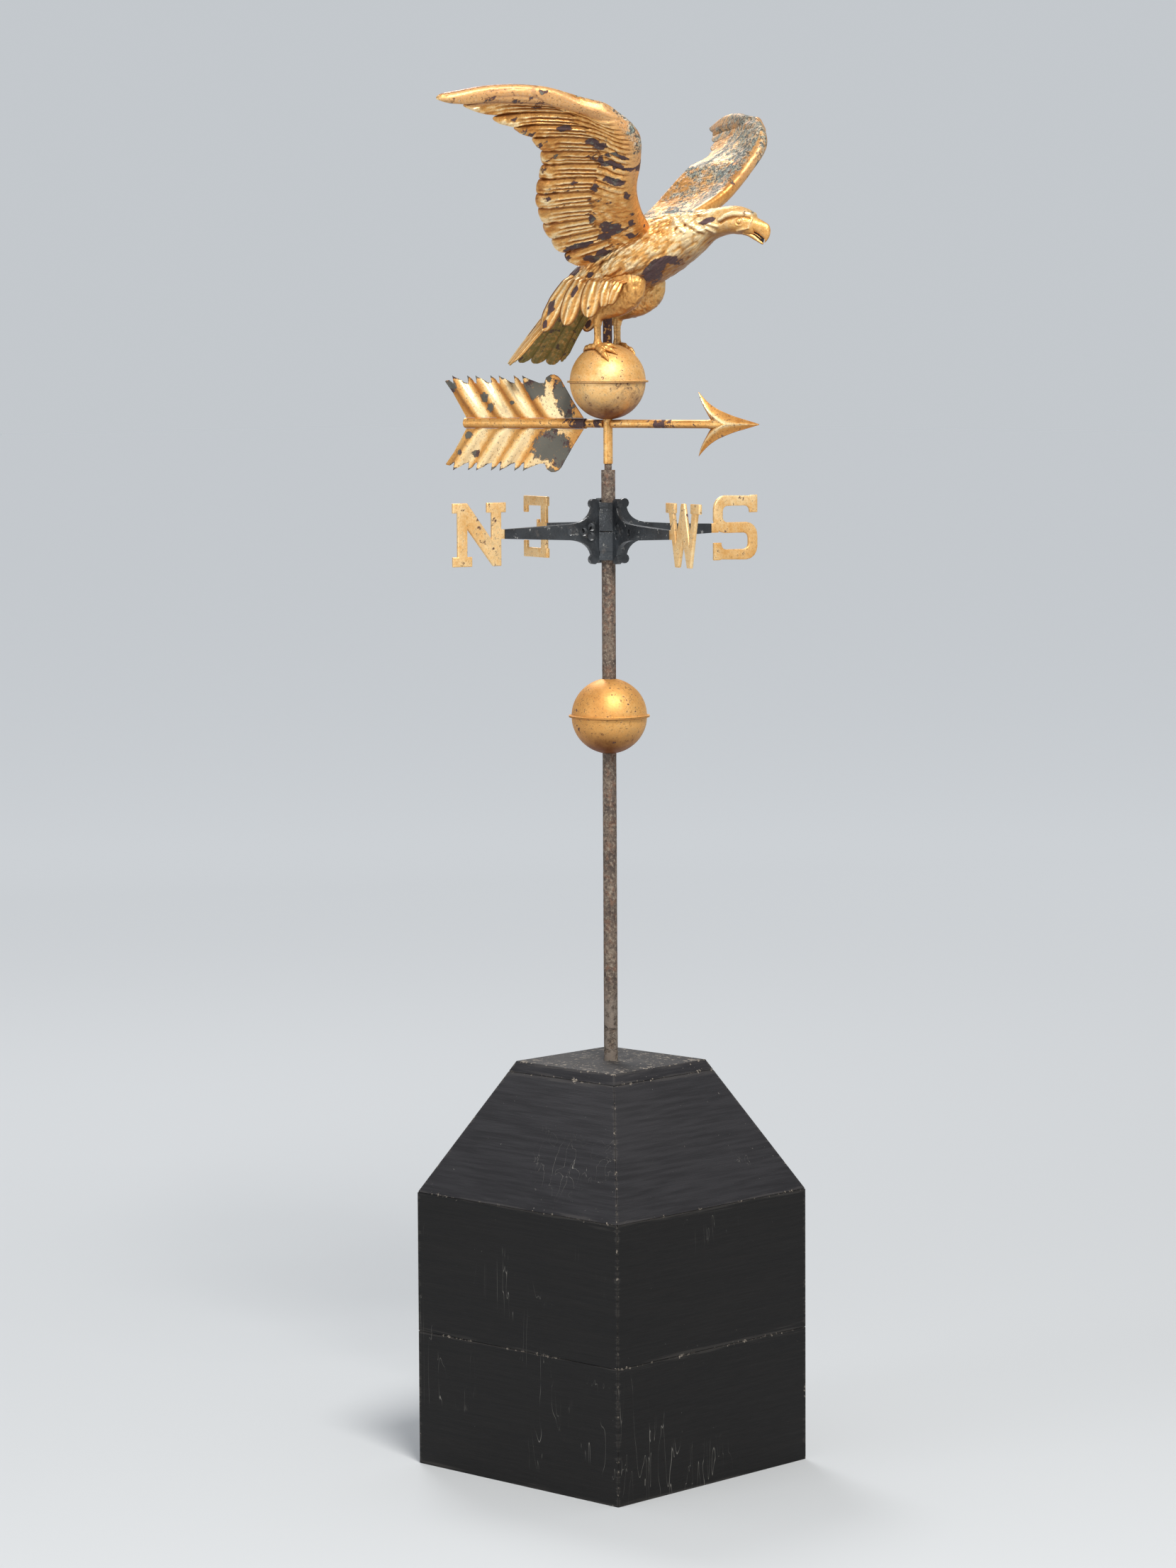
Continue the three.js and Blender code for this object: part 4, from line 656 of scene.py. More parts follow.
# The left wing hangs lower, reaches a little less far and is modelled more shallowly
DROOP = 17 * MM
LEFT_REACH = 0.9975
LEFT_RELIEF = 0.7
ARM_EDGE = bird([
    (0.199, 0.065, 0.384), (0.245, 0.204, 0.431), (0.294, 0.319, 0.498), (0.343, 0.38, 0.583),
    (0.366, 0.431, 0.664), (0.294, 0.533, 0.759)])
OUTER_EDGE = bird([
    (0.294, 0.533, 0.759), (0.163, 0.611, 0.809), (0.023, 0.757, 0.818), (-0.091, 0.907, 0.786)])
ROOT_EDGE = bird([
    (0.199, 0.065, 0.384), (0.13, 0.078, 0.345), (0.04, 0.08, 0.3), (-0.032, 0.074, 0.262)])
TIP_EDGE = bird([
    (-0.032, 0.074, 0.262), (-0.065, 0.144, 0.272), (-0.09, 0.194, 0.319), (-0.088, 0.259, 0.369),
    (-0.065, 0.331, 0.418), (-0.042, 0.391, 0.462), (-0.016, 0.428, 0.508), (0.014, 0.458, 0.553),
    (0.039, 0.493, 0.597), (0.058, 0.563, 0.638), (0.039, 0.637, 0.675), (0.005, 0.706, 0.702),
    (-0.035, 0.789, 0.737), (-0.095, 0.907, 0.771), (-0.091, 0.907, 0.786)])
# Depths of the notches between feathers from the body to the wing tip, as shares of the eagle's length
NOTCHES = np.array([0, 0.028, 0.025, 0.014, 0.009, 0.008, 0.008, 0.012, 0.018, 0.031, 0.038, 0.047, 0.058,
                    0.016])
# Bare patches under the wings and on top of them: chord, span and their half sizes, as shares
PATCHES_BELOW = [
    (0.62, 0.75, 0.06, 0.016), (0.43, 0.675, 0.1, 0.024), (0.28, 0.56, 0.2, 0.027),
    (0.1, 0.555, 0.1, 0.024), (0.205, 0.47, 0.13, 0.019), (0.42, 0.42, 0.03, 0.034),
    (0.07, 0.385, 0.04, 0.027), (0.345, 0.175, 0.1, 0.045), (0.45, 0.11, 0.05, 0.032),
    (0.215, 0.08, 0.055, 0.024), (0.105, 0.18, 0.03, 0.022), (0.485, 0.23, 0.03, 0.018),
    (0.73, 0.095, 0.15, 0.02), (0.755, 0.03, 0.07, 0.017), (0.585, 0.03, 0.06, 0.015),
    (0.16, 0.63, 0.1, 0.012)]
PATCHES_ABOVE = [
    (0.26, 0.555, 0.05, 0.04), (0.25, 0.605, 0.04, 0.035), (0.285, 0.51, 0.04, 0.03),
    (0.63, 0.29, 0.1, 0.03), (0.35, 0.2, 0.06, 0.03), (0.12, 0.14, 0.05, 0.03)]


def tip_place(v):
    """The rear edge, whose curve's inner points are the middles of the feathers."""
    feather = v * FEATHERS
    index = np.where(feather < 0.5, feather * 2, np.where(
        feather > FEATHERS - 0.5, FEATHERS + (feather - FEATHERS + 0.5) * 2, feather + 0.5))
    return spline(TIP_EDGE, index / (len(TIP_EDGE) - 1))


def wing_patch(u, v):
    """The face between the four edges: u from the arm to the rear edge and v from the body to the tip."""
    a, b = u[:, None], v[:, None]
    edges = spline(ARM_EDGE, v) * (1 - a) + tip_place(v) * a
    edges = edges + spline(ROOT_EDGE, u) * (1 - b) + spline(OUTER_EDGE, u) * b
    corners = ARM_EDGE[0] * (1 - a) * (1 - b) + ARM_EDGE[-1] * (1 - a) * b
    corners = corners + ROOT_EDGE[-1] * a * (1 - b) + OUTER_EDGE[-1] * a * b
    return edges - corners


def surface_normal(patch, u, v, step=0.004):
    low_u, high_u = np.clip(u - step, 0, 1), np.clip(u + step, 0, 1)
    low_v, high_v = np.clip(v - step, 0, 1), np.clip(v + step, 0, 1)
    return unit(np.cross(patch(high_u, v) - patch(low_u, v), patch(u, high_v) - patch(u, low_v)))


def under_relief(u, v, points):
    """Feather modelling on a wing's underside in metres, its dirt with painted shade, and its painted light
    and rubbed tops.
    """
    feather = v * FEATHERS
    w = feather - np.floor(feather)
    cover_line = 0.45 + 0.025 * np.sin(v * 9) - 0.03 * np.abs(2 * w - 1)
    vane = ramp(u, cover_line, cover_line + 0.03)
    tip = ramp(u, 0.66, 0.92)
    wander = 0.07 * grain(points * np.array([0.4, 1.0, 1.0]), 34 * MM, 3)
    lump = lumps(points, 11 * MM, 2, 11)
    pebble = lumps(points, 4.5 * MM, 2, 13)
    shape = cushion(feather) * (1.0 + 1.8 * tip) - 0.5
    first, second, third = (bell(w, at + wander, 0.055) for at in (0.2, 0.45, 0.72))
    lines = first * (1 - 0.35 * tip) + second * (1 - 0.75 * tip) + third * (1 - 0.95 * tip)
    troughs = (bell(w, 0.325 + wander, 0.06) + bell(w, 0.59 + wander, 0.06)) * (1 - 0.9 * tip)
    primaries = vane * (shape + lines * 0.8 - troughs * 0.55 + lump * (0.2 + 1.0 * tip) + pebble * 0.25)
    fan = ramp(v, 0.32, 0.42) * (1 - ramp(v, 0.88, 0.96))
    strips = cushion(v * 27 + 0.25 * np.sin(u * 9) + 0.2 * grain(points, 40 * MM, 5))
    dents = 0.5 - scales(points * np.array([0.5, 1.0, 1.0]), 7 * MM, 4)
    hammered = lumps(points * np.array([0.6, 1.0, 1.0]), 9 * MM, 3, 8) * 1.2 + dents * 1.3
    front = ramp(u, 0.03, 0.12)
    fanned = fan * (1.9 * strips - 1.5 + lump * 0.4 + pebble * 0.3) + (1 - fan) * hammered
    coverts = (1 - vane) * (1.2 + front * fanned)
    # Dirt and painted shade between feathers, in troughs and pits and along the coverts' edge
    dirt_and_painted_shade = vane * (bell(w, 0.0, 0.07) * 1.2 + bell(w, 1.0, 0.07) * 1.2 + troughs * 0.75)
    pitted = fan * (1 - strips) ** 2 + (1 - fan) * ramp(-dents, 0.0, 0.35) * 0.35
    dirt_and_painted_shade = dirt_and_painted_shade + (1 - vane) * front * pitted
    dirt_and_painted_shade = np.clip(dirt_and_painted_shade + bell(u, cover_line + 0.02, 0.014) * 0.7, 0, 1)
    # The lines and the tips' lumps rubbed and painted lighter, the troughs painted darker
    rubbed_and_painted_light = vane * (lines * 1.1 - troughs + tip * (lump * 0.9 + cushion(feather) * 1.3 - 0.9))
    rubbed_and_painted_light = rubbed_and_painted_light + (1 - vane) * front * (fan * (1.6 * strips - 1.0) + (1 - fan) * (dents * 1.4 + 0.2))
    return (primaries + coverts) * UNDER_RELIEF, dirt_and_painted_shade, np.clip(rubbed_and_painted_light, -1, 1)


def upper_relief(u, v, points):
    """Feather modelling on a wing's upper side in metres, its dirt with painted shade, and its painted light
    and rubbed tops.
    """
    feather = v * FEATHERS
    w = feather - np.floor(feather)
    vane = ramp(u, 0.6, 0.66)
    tip = 0.25 + 0.75 * ramp(v, 0.62, 0.8)
    primaries = vane * ((cushion(feather) - 0.8) * 0.45 + bell(w, 0.5, 0.08) * 0.25) * tip
    fine = cushion(v * 60 + u * 4 + 0.3 * grain(points, 30 * MM, 9))
    rows = cushion(u * 4.5 + 0.25 * np.sin(v * 60) + 0.2 * grain(points, 20 * MM, 19))
    slats = fine * ramp(u, 0.2, 0.32)
    coverts = (1 - vane) * (0.55 + 0.28 * slats + 0.08 * rows) + lumps(points, 8 * MM, 3, 21) * 0.4
    dirt_and_painted_shade = vane * (bell(w, 0, 0.06) + bell(w, 1, 0.06)) * tip + bell(u, 0.62, 0.014) * 0.5
    dirt_and_painted_shade = np.clip(dirt_and_painted_shade + (1 - vane) * (1 - slats) ** 3 * ramp(u, 0.2, 0.32) * 0.35, 0, 1)
    return (primaries + coverts) * MM, dirt_and_painted_shade, (slats - 0.6) * 0.5 * (1 - vane)


def wing_surface(mirror):
    """Both faces of a wing: a runs from the body to the tip, and b from the rear edge round the arm."""
    def place(a, b):
        over = b > 0.5
        side = np.where(over, 1.0, -1.0)
        u, v = np.abs(2 * b - 1) ** 1.2, a
        feather = v * FEATHERS
        k = np.minimum(np.floor(feather).astype(int), FEATHERS - 1)
        deepest = np.where(feather - k < 0.5, NOTCHES[k], NOTCHES[k + 1]) * EAGLE_LENGTH
        notch = deepest * (1 - cushion(feather))
        chord = np.linalg.norm(spline(ARM_EDGE, v) - tip_place(v), axis=1)
        if mirror:
            notch = notch * (0.3 + 0.7 * ramp(v, 0.7, 0.82))
        reach = u * (1 - notch / chord)
        points = wing_patch(reach, v)
        normal = surface_normal(wing_patch, reach, v)
        from_tip = (1 - v) * FEATHERS
        end = dome(from_tip / 0.5) * dome(v / 0.01)
        front = (1 - np.exp(-u / 0.028)) ** 0.6 * np.exp(-((np.maximum(u - 0.1, 0) / 0.2) ** 2)) * end
        outer_bar = dome(1 - (from_tip / 0.62 - 1) ** 2) * ramp(u, -0.05, 0.03)
        outer_bar = outer_bar * dome((1 - u) / 0.05)
        blunt = 1.2 * MM * dome((1 - u) / 0.02) * end
        half = np.maximum(front, outer_bar * 0.95) * WING_DEPTH + blunt
        forms = zip(upper_relief(u, v, points), under_relief(u, v, points))
        relief, dirt_and_painted_shade, rubbed_and_painted_light = (np.where(over, above, below) for above, below in forms)
        fade = dome((1 - u) / 0.03) * ramp(u, 0.0, 0.05) * end * (1 - 0.8 * ramp(outer_bar, 0.2, 0.6))
        relief = relief * fade * (LEFT_RELIEF if mirror else 1.0)
        grainy = lumps(points + 9, 6 * MM, 2, 31) * 0.25 * MM * ramp(from_tip, 0.3, 1.0) * ramp(u, 0, 0.03)
        lift = -WING_CAMBER * np.sin(math.pi * reach)
        points = pushed(points, normal, lift + side * (half + relief + grainy))
        if mirror:
            points[:, 2] -= DROOP * ramp(-points[:, 1], 190 * MM, 300 * MM)
            points[:, 1] *= -LEFT_REACH
        worn = np.where(over, patches(u, v, PATCHES_ABOVE), patches(u, v, PATCHES_BELOW))
        ridge = bell(u, 0.0, 0.07) * (1 - ramp(v, 0.75, 0.85))
        patina = np.where(over, 0.8 + 0.25 * bell(u, 0.2, 0.13), 0.05)
        patina = patina * (1 - 0.1 * ramp(u, 0.55, 0.75)) * (1 - 0.75 * ridge)
        bar = np.clip(bell(u, 0.0, 0.1) * ramp(v, 0.35, 0.6) + ramp(outer_bar, 0.2, 0.7), 0, 1)
        patina = np.maximum(patina, 0.58 * bell(v, 0.78, 0.14) * bell(u, 0.0, 0.09) + 0.3 * bar)
        if not mirror:
            patina = np.maximum(patina, 0.75 * bell(v, 0.71, 0.035) * bell(u, 0.3, 0.09))
        marks = {"worn": worn, "patina": patina, "dirt_and_painted_shade": dirt_and_painted_shade, "rubbed_and_painted_light": rubbed_and_painted_light * (1 - bar),
                 "rosy": bar * 0.5, "even": np.where(over, 0.75, 0.9 * bar)}
        return on_vane(points), marks
    return place


for side_name, mirror in SIDES:
    wing = closed(skin(WING_COLUMNS, WING_ROWS, wing_surface(mirror)))
    piece(f"{side_name}_wing", wing, FEATHER_GILT, "vane",
          [f"{side_name}_wing_upper_skin", f"{side_name}_wing_lower_skin"], sharp=70)


# Body from the rump to the face: the back's place forwards and up, the belly's, and the half width
STATIONS = np.array([
    (-0.14, 0.2, -0.118, 0.16, 0.044), (-0.118, 0.234, -0.097, 0.146, 0.078),
    (-0.046, 0.289, -0.028, 0.144, 0.106), (0.035, 0.347, 0.058, 0.153, 0.12),
    (0.116, 0.392, 0.134, 0.176, 0.125), (0.199, 0.419, 0.213, 0.208, 0.116),
    (0.266, 0.427, 0.285, 0.247, 0.097), (0.324, 0.432, 0.343, 0.287, 0.076),
    (0.382, 0.434, 0.407, 0.336, 0.058), (0.44, 0.442, 0.463, 0.353, 0.049),
    (0.482, 0.444, 0.495, 0.352, 0.045), (0.513, 0.439, 0.522, 0.349, 0.041),
    (0.537, 0.43, 0.54, 0.345, 0.034), (0.552, 0.419, 0.553, 0.348, 0.028),
    (0.563, 0.4, 0.561, 0.36, 0.018)])
BEAK = np.array([
    (0.535, 0.424, 0.53, 0.361, 0.028), (0.556, 0.409, 0.553, 0.358, 0.0245),
    (0.577, 0.398, 0.566, 0.353, 0.0205), (0.594, 0.389, 0.5735, 0.3485, 0.0165),
    (0.606, 0.38, 0.581, 0.342, 0.013), (0.6115, 0.363, 0.588, 0.337, 0.0095),
    (0.6085, 0.345, 0.5915, 0.332, 0.006), (0.601, 0.332, 0.591, 0.327, 0.0035),
    (0.592, 0.323, 0.589, 0.324, 0.0015)])
JAW = np.array([
    (0.525, 0.364, 0.512, 0.35, 0.024), (0.545, 0.3575, 0.533, 0.344, 0.019),
    (0.559, 0.35, 0.55, 0.3345, 0.015), (0.5695, 0.3405, 0.561, 0.3285, 0.0115),
    (0.578, 0.331, 0.571, 0.323, 0.0085), (0.5845, 0.3245, 0.58, 0.3185, 0.005),
    (0.587, 0.3205, 0.585, 0.3175, 0.0015)])
# The mouth: a dark form inside the beak, painted shade for its opening
MOUTH = np.array([
    (0.53, 0.372, 0.525, 0.352, 0.016), (0.56, 0.366, 0.553, 0.342, 0.0105),
    (0.575, 0.357, 0.57, 0.334, 0.0075), (0.586, 0.345, 0.581, 0.326, 0.0045),
    (0.589, 0.335, 0.586, 0.323, 0.002)])
TONGUE = np.array([
    (0.545, 0.3605, 0.5435, 0.3575, 0.0185), (0.56, 0.3545, 0.558, 0.3515, 0.0145),
    (0.572, 0.347, 0.5695, 0.344, 0.0105), (0.581, 0.338, 0.579, 0.3355, 0.006),
    (0.5845, 0.333, 0.5835, 0.332, 0.002)])
# Bare patches on the body's right side: forwards and up, and their half sizes, as shares
BODY_PATCHES = [
    (0.226, 0.241, 0.062, 0.02), (-0.075, 0.236, 0.034, 0.016), (0.0, 0.225, 0.014, 0.01),
    (0.405, 0.395, 0.03, 0.009), (0.275, 0.268, 0.03, 0.014)]
# The head's ridges and grooves: polylines forwards and up, as shares, with height and width in millimetres
HEAD_LINES = [
    ([(0.45, 0.399), (0.469, 0.41), (0.495, 0.418), (0.533, 0.417), (0.56, 0.414)], 2.1, 2.8),
    ([(0.452, 0.388), (0.473, 0.4), (0.495, 0.407), (0.53, 0.408), (0.548, 0.404)], -1.5, 1.7),
    ([(0.558, 0.4), (0.553, 0.385), (0.547, 0.372)], 0.8, 1.5),
    ([(0.547, 0.371), (0.53, 0.367), (0.505, 0.362)], 0.9, 1.6),
    ([(0.315, 0.408), (0.337, 0.39), (0.37, 0.375), (0.395, 0.362)], 2.4, 2.6),
    ([(0.33, 0.386), (0.36, 0.368), (0.385, 0.352)], -1.4, 2.0),
    ([(0.366, 0.359), (0.404, 0.373), (0.425, 0.361)], 2.0, 2.4),
    ([(0.44, 0.378), (0.41, 0.386), (0.375, 0.392)], 1.6, 2.2),
    ([(0.29, 0.41), (0.305, 0.385), (0.335, 0.36)], 2.0, 2.6),
]
EYE_PLACE = (0.517, 0.393)
EYE_RADIUS = 3.3
# The direction of the body's plumage in the eagle's middle plane
PLUME_AXIS = np.array([0.83, 0, 0.56])


def line_distance(x, z, line):
    """Distance of points from a polyline in the eagle's middle plane."""
    best = np.full(len(x), np.inf)
    for (ax, az), (bx, bz) in zip(line, line[1:]):
        dx, dz = bx - ax, bz - az
        t = np.clip(((x - ax) * dx + (z - az) * dz) / (dx * dx + dz * dz), 0, 1)
        best = np.minimum(best, np.hypot(x - ax - t * dx, z - az - t * dz))
    return best


def station_ring(stations, a, b, blunt):
    """Points round the stations' ovals, the outward directions, the turns and how far the ovals open."""
    row = spline(stations, b) * EAGLE_LENGTH
    back, belly = in_plane(row[:, 0], row[:, 1] + PERCH), in_plane(row[:, 2], row[:, 3] + PERCH)
    rise = (back - belly) / 2
    turn = a * math.tau
    end = rounded_ends(b, blunt)
    side = np.array([0, 1.0, 0])
    upright, sideways = np.cos(turn)[:, None], np.sin(turn)[:, None]
    points = (back + belly) / 2 + end[:, None] * (rise * upright + side * row[:, 4:] * sideways)
    outward = unit(rise) * upright + side * sideways
    return points, unit(outward), turn, end


def plumage(points, axis, size, seed):
    """Small overlapping chiselled feathers, about 1 on each feather and 0 or less in the cuts."""
    warp = np.stack([grain(points, 3.5 * size, seed + i) for i in range(3)], -1) * 0.4 * size
    place = points + warp
    along = place @ axis
    squeezed = place - np.outer(along, axis) * 0.62
    bumps = 1 - scales(squeezed, size, seed) ** 2 * 1.3
    return bumps + 0.25 * np.abs(grain(squeezed, size * 0.5, seed + 7))


def body_surface(a, b):
    points, outward, turn, end = station_ring(STATIONS, a, b, 0.012)
    x, z = points[:, 0] / EAGLE_LENGTH, (points[:, 2] - PERCH) / EAGLE_LENGTH
    flank = np.abs(np.sin(turn))
    head = ramp(x, 0.37, 0.46)
    plumes = plumage(points, PLUME_AXIS, 6.5 * MM, 61)
    coarse = plumage(points, PLUME_AXIS, 20 * MM, 31)
    neck = ramp(x, 0.22, 0.34)
    relief = (1 - 0.9 * head) * (1 - 0.4 * neck) * (plumes * 1.9 + coarse * 1.4 - 2.3)
    relief = relief + lumps(points, 5 * MM, 2, 91) * 0.12 + lumps(points, 16 * MM, 2, 81) * 0.35 * head
    # The plumes' tops rubbed and painted lighter, their hollows painted darker
    rubbed_and_painted_light = (1 - head) * (plumes * 1.3 + coarse * 0.5 - 1.0)
    sides = ramp(flank, 0.3, 0.62)
    # cleft is painted shade in the head's grooves, such as under the brow's ridge
    cleft = np.zeros(len(a))
    for line, height, width in HEAD_LINES:
        away = line_distance(x, z, line) * EAGLE_LENGTH / MM
        relief = relief + 1.25 * height * bell(away, 0, width) * sides
        rubbed_and_painted_light = rubbed_and_painted_light + 0.3 * height * bell(away, 0, width) * sides
        cleft = np.maximum(cleft, -0.4 * height * bell(away, 0, width) * sides)
    from_eye = np.hypot(x - EYE_PLACE[0], z - EYE_PLACE[1]) * EAGLE_LENGTH / MM
    eyeball = dome(1 - (from_eye / EYE_RADIUS) ** 2) * 1.8
    relief = relief + sides * (eyeball - 0.8 * bell(from_eye, 4.3, 1.0) + 0.5 * bell(from_eye, 6.2, 1.2))
    points = pushed(points, outward, relief * end * MM)
    field = np.zeros(len(a))
    right = ramp(-np.sin(turn), -0.35, 0.1)
    for at_x, at_z, half_length, half_width in BODY_PATCHES:
        lean = 0.62 if half_length > 0.05 else 0.35
        c, s = math.cos(lean), math.sin(lean)
        dx, dz = x - at_x, z - at_z
        away = np.hypot((dx * c + dz * s) / half_length, (dz * c - dx * s) / half_width)
        field = np.maximum(field, patch_field(away) * right)
    patina = ramp(np.cos(turn), 0.5, 0.95) * 0.68
    # Dirt and painted shade in the plumes' hollows, in the ring round the eye and in the head's grooves
    dirt_and_painted_shade = (1 - head) * ramp(-plumes, -0.5, 0.2) + bell(from_eye, 4.2, 1.0) * 0.5 * sides
    dirt_and_painted_shade = np.clip(dirt_and_painted_shade * 0.7 + cleft, 0, 1)
    marks = {"worn": field, "patina": patina, "dirt_and_painted_shade": dirt_and_painted_shade, "rubbed_and_painted_light": np.clip(rubbed_and_painted_light, -1, 1),
             "even": 0.3 * neck + 0.55 * head}
    return on_vane(points), marks


def beak_surface(stations, dark):
    """A part of the beak; dark is 1 for the mouth's inside, a dark form that is painted shade."""
    def place(a, b):
        points, outward, _, end = station_ring(stations, a, b, 0.03)
        points = pushed(points, outward, lumps(points, 6 * MM, 2, 14) * 0.15 * end * MM)
        return on_vane(points), {"painted_mouth_shade": dark, "even": 0.9}
    return place


eagle_parts = [closed(skin(230, 330, body_surface))]
# dark marks the mouth's form, painted shade inside the open beak
for stations, dark in ((BEAK, 0), (JAW, 0), (MOUTH, 1), (TONGUE, 0)):
    eagle_parts.append(closed(skin(56, 80, beak_surface(stations, dark))))
piece("eagle_body", merged(eagle_parts), BODY_GILT, "vane", ["eagle_body_right", "eagle_body_left"], sharp=80)


# Tail from its ridge to its outer edge, and the thicknesses of the sheets
TAIL_ROOT = bird([
    (-0.105, 0, 0.225), (-0.1, 0.03, 0.205), (-0.088, 0.06, 0.17), (-0.07, 0.079, 0.139)])
TAIL_TIP = bird([
    (-0.383, 0, -0.06), (-0.357, 0.045, -0.064), (-0.325, 0.1, -0.067), (-0.284, 0.15, -0.069),
    (-0.246, 0.157, -0.046)])
TAIL_FEATHERS = 9
TAIL_ARCH = 5.2 * MM
TAIL_SHEET, FLANK_SHEET, FLETCH_SHEET = 1.4 * MM, 1.2 * MM, 1.0 * MM


def tail_patch(across, along):
    side = np.abs(2 * across - 1)
    points = spline(TAIL_ROOT, side) * (1 - along)[:, None] + spline(TAIL_TIP, side) * along[:, None]
    points[:, 2] += TAIL_ARCH * np.sin(math.pi * along)
    points[:, 1] = np.where(across > 0.5, -points[:, 1], points[:, 1])
    return points


def tail_surface(a, b):
    feather = a * TAIL_FEATHERS
    w = feather - np.minimum(np.floor(feather), TAIL_FEATHERS - 1)
    arc = 1 - cushion(feather)
    along = b * (1 - 0.075 * arc)
    points = tail_patch(a, along)
    normal = surface_normal(tail_patch, a, along)
    lines = bell(w, 0.5, 0.05) * 0.9 + (bell(w, 0.22, 0.04) + bell(w, 0.78, 0.04)) * 0.5
    relief = (cushion(feather) * 1.6 + lines - 1.4) * ramp(b, 0.02, 0.3) + lumps(points, 9 * MM, 3, 5) * 0.4
    points = pushed(points, normal, relief * MM)
    # Painted shade, with dirt, where the tail's feathers meet, and the feather lines rubbed and painted
    # lighter
    marks = {"worn": np.clip(1.4 - 0.95 * np.hypot((a - 0.42) / 0.05, (b - 0.62) / 0.12), 0, 1.2),
             "patina": 0.25, "dirt_and_painted_shade": np.clip(arc**2, 0, 1), "rubbed_and_painted_light": lines - 0.3}
    return on_vane(points), marks


tail = sheet(skin(TAIL_FEATHERS * 20, 90, tail_surface), TAIL_SHEET)
piece("tail_fan_sheet", tail, TAIL_GILT, "vane", ["tail_fan"], sharp=60)

# Flank feathers from the rear to the front: root and tip forwards, right and up, as shares of the eagle's
# length, and half width in millimetres
FLANK_FEATHERS = [
    ((-0.07, 0.098, 0.22), (-0.167, 0.128, 0.038), 14.0),
    ((-0.022, 0.11, 0.222), (-0.077, 0.139, 0.058), 16.0),
    ((0.03, 0.117, 0.22), (0.012, 0.142, 0.083), 16.5),
    ((0.078, 0.12, 0.214), (0.062, 0.138, 0.118), 13.5),
    ((0.12, 0.12, 0.21), (0.09, 0.141, 0.126), 11.0),
]
FLANK_OUTWARD = np.array([0, -1.0, 0.25])
# Bare patches on the flank feathers: along, across and their half sizes, as shares
FLANK_PATCHES = [[(0.58, 0.2, 0.14, 0.4), (0.88, 0.0, 0.07, 0.4)], [(0.36, 0.1, 0.13, 0.3)], [], [], []]


def flank_feather(root, tip, half_width, order, mirror):
    start, end = bird(root), bird(tip)
    run = end - start
    aim = unit(run)
    across = unit(np.cross(aim, FLANK_OUTWARD))
    face = np.cross(across, aim)

    def place(a, b):
        q = 2 * a - 1
        taper = dome(1 - (np.clip(b - 0.66, 0, 1) / 0.34) ** 2) * (0.7 + 0.3 * ramp(b, 0, 0.5))
        sunk = 8 * MM * (1 - ramp(b, 0.0, 0.16))
        width = half_width * MM * np.maximum(taper, 0.02)
        bow = 5 * MM * np.sin(math.pi * b) + (4 - order) * 0.9 * MM
        cup = 3.4 * MM * (1 - q * q) * (0.4 + 0.6 * ramp(b, 0.1, 0.6))
        ribs = np.cos(q * math.pi * 3.0)
        grooves = 0.55 * MM * ribs * ramp(1 - np.abs(q), 0, 0.2) * (1 - ramp(b, 0.7, 0.95))
        shaft = 0.9 * MM * bell(q, 0, 0.09) * (1 - ramp(b, 0.75, 1))
        points = start + np.outer(b, run) + np.outer(q * width, across)
        rough = lumps(points, 6 * MM, 3, 40 + order) * 0.3 * MM
        points = points + np.outer(bow + cup + grooves + shaft + rough - sunk, face)
        if mirror:
            points[:, 1] *= -1
        # Painted shade, with dirt, towards each feather's edges, and its ribs rubbed and painted lighter
        marks = {"worn": patches(b, q, FLANK_PATCHES[order]), "patina": 0.1, "even": 0.75,
                 "dirt_and_painted_shade": np.clip(np.abs(q) ** 6, 0, 1), "rubbed_and_painted_light": 0.55 * ribs + 0.25 - 0.5 * q * q}
        return on_vane(points), marks
    return place


for side_name, mirror in SIDES:
    rows = [sheet(skin(26, 60, flank_feather(*feather, order, mirror)), FLANK_SHEET)
            for order, feather in enumerate(FLANK_FEATHERS)]
    piece(f"{side_name}_flank_row", merged(rows), BODY_GILT, "vane", [f"{side_name}_flank_feathers"],
          sharp=60)


# Legs: the thigh's middle forwards, right and up, and its half depth and width, as shares, from the top
THIGH = np.array([
    (0.12, 0.062, 0.25, 0.06, 0.035), (0.108, 0.067, 0.205, 0.074, 0.041),
    (0.098, 0.067, 0.175, 0.076, 0.043), (0.072, 0.066, 0.142, 0.06, 0.037),
    (0.036, 0.065, 0.113, 0.037, 0.025), (0.006, 0.065, 0.086, 0.018, 0.016),
    (-0.002, 0.065, 0.055, 0.0135, 0.0135)])
LEG_SPREAD = 28 * MM
LEG_FACE = 0.85 * MM
FOOT_RISE = math.sqrt(GLOBE_RADIUS**2 - LEG_SPREAD**2)
# The shank's radius in millimetres at shares of its length
SHANK = [(0, 5.6), (0.3, 5.2), (0.7, 5.0), (0.88, 6.4), (1, 5.5)]
# Toes: heading in degrees and length, radius and the middle's height in millimetres, and the swelling of
# joints and claw along each
TOES = [(42, 34), (4, 34), (-32, 29), (192, 31)]
TOE_RADIUS, TOE_HEIGHT = 4.75, 3.9
TOE_SWELLS = [
    (0, 0.72), (0.14, 1.05), (0.24, 0.86), (0.4, 0.98), (0.5, 0.8), (0.62, 0.9), (0.72, 0.62),
    (0.86, 0.4), (1, 0.12)]


def curve_run(curve, b, step):
    """The way along a curve round the share b."""
    return spline(curve, np.clip(b + step, 0, 1)) - spline(curve, np.clip(b - step, 0, 1))


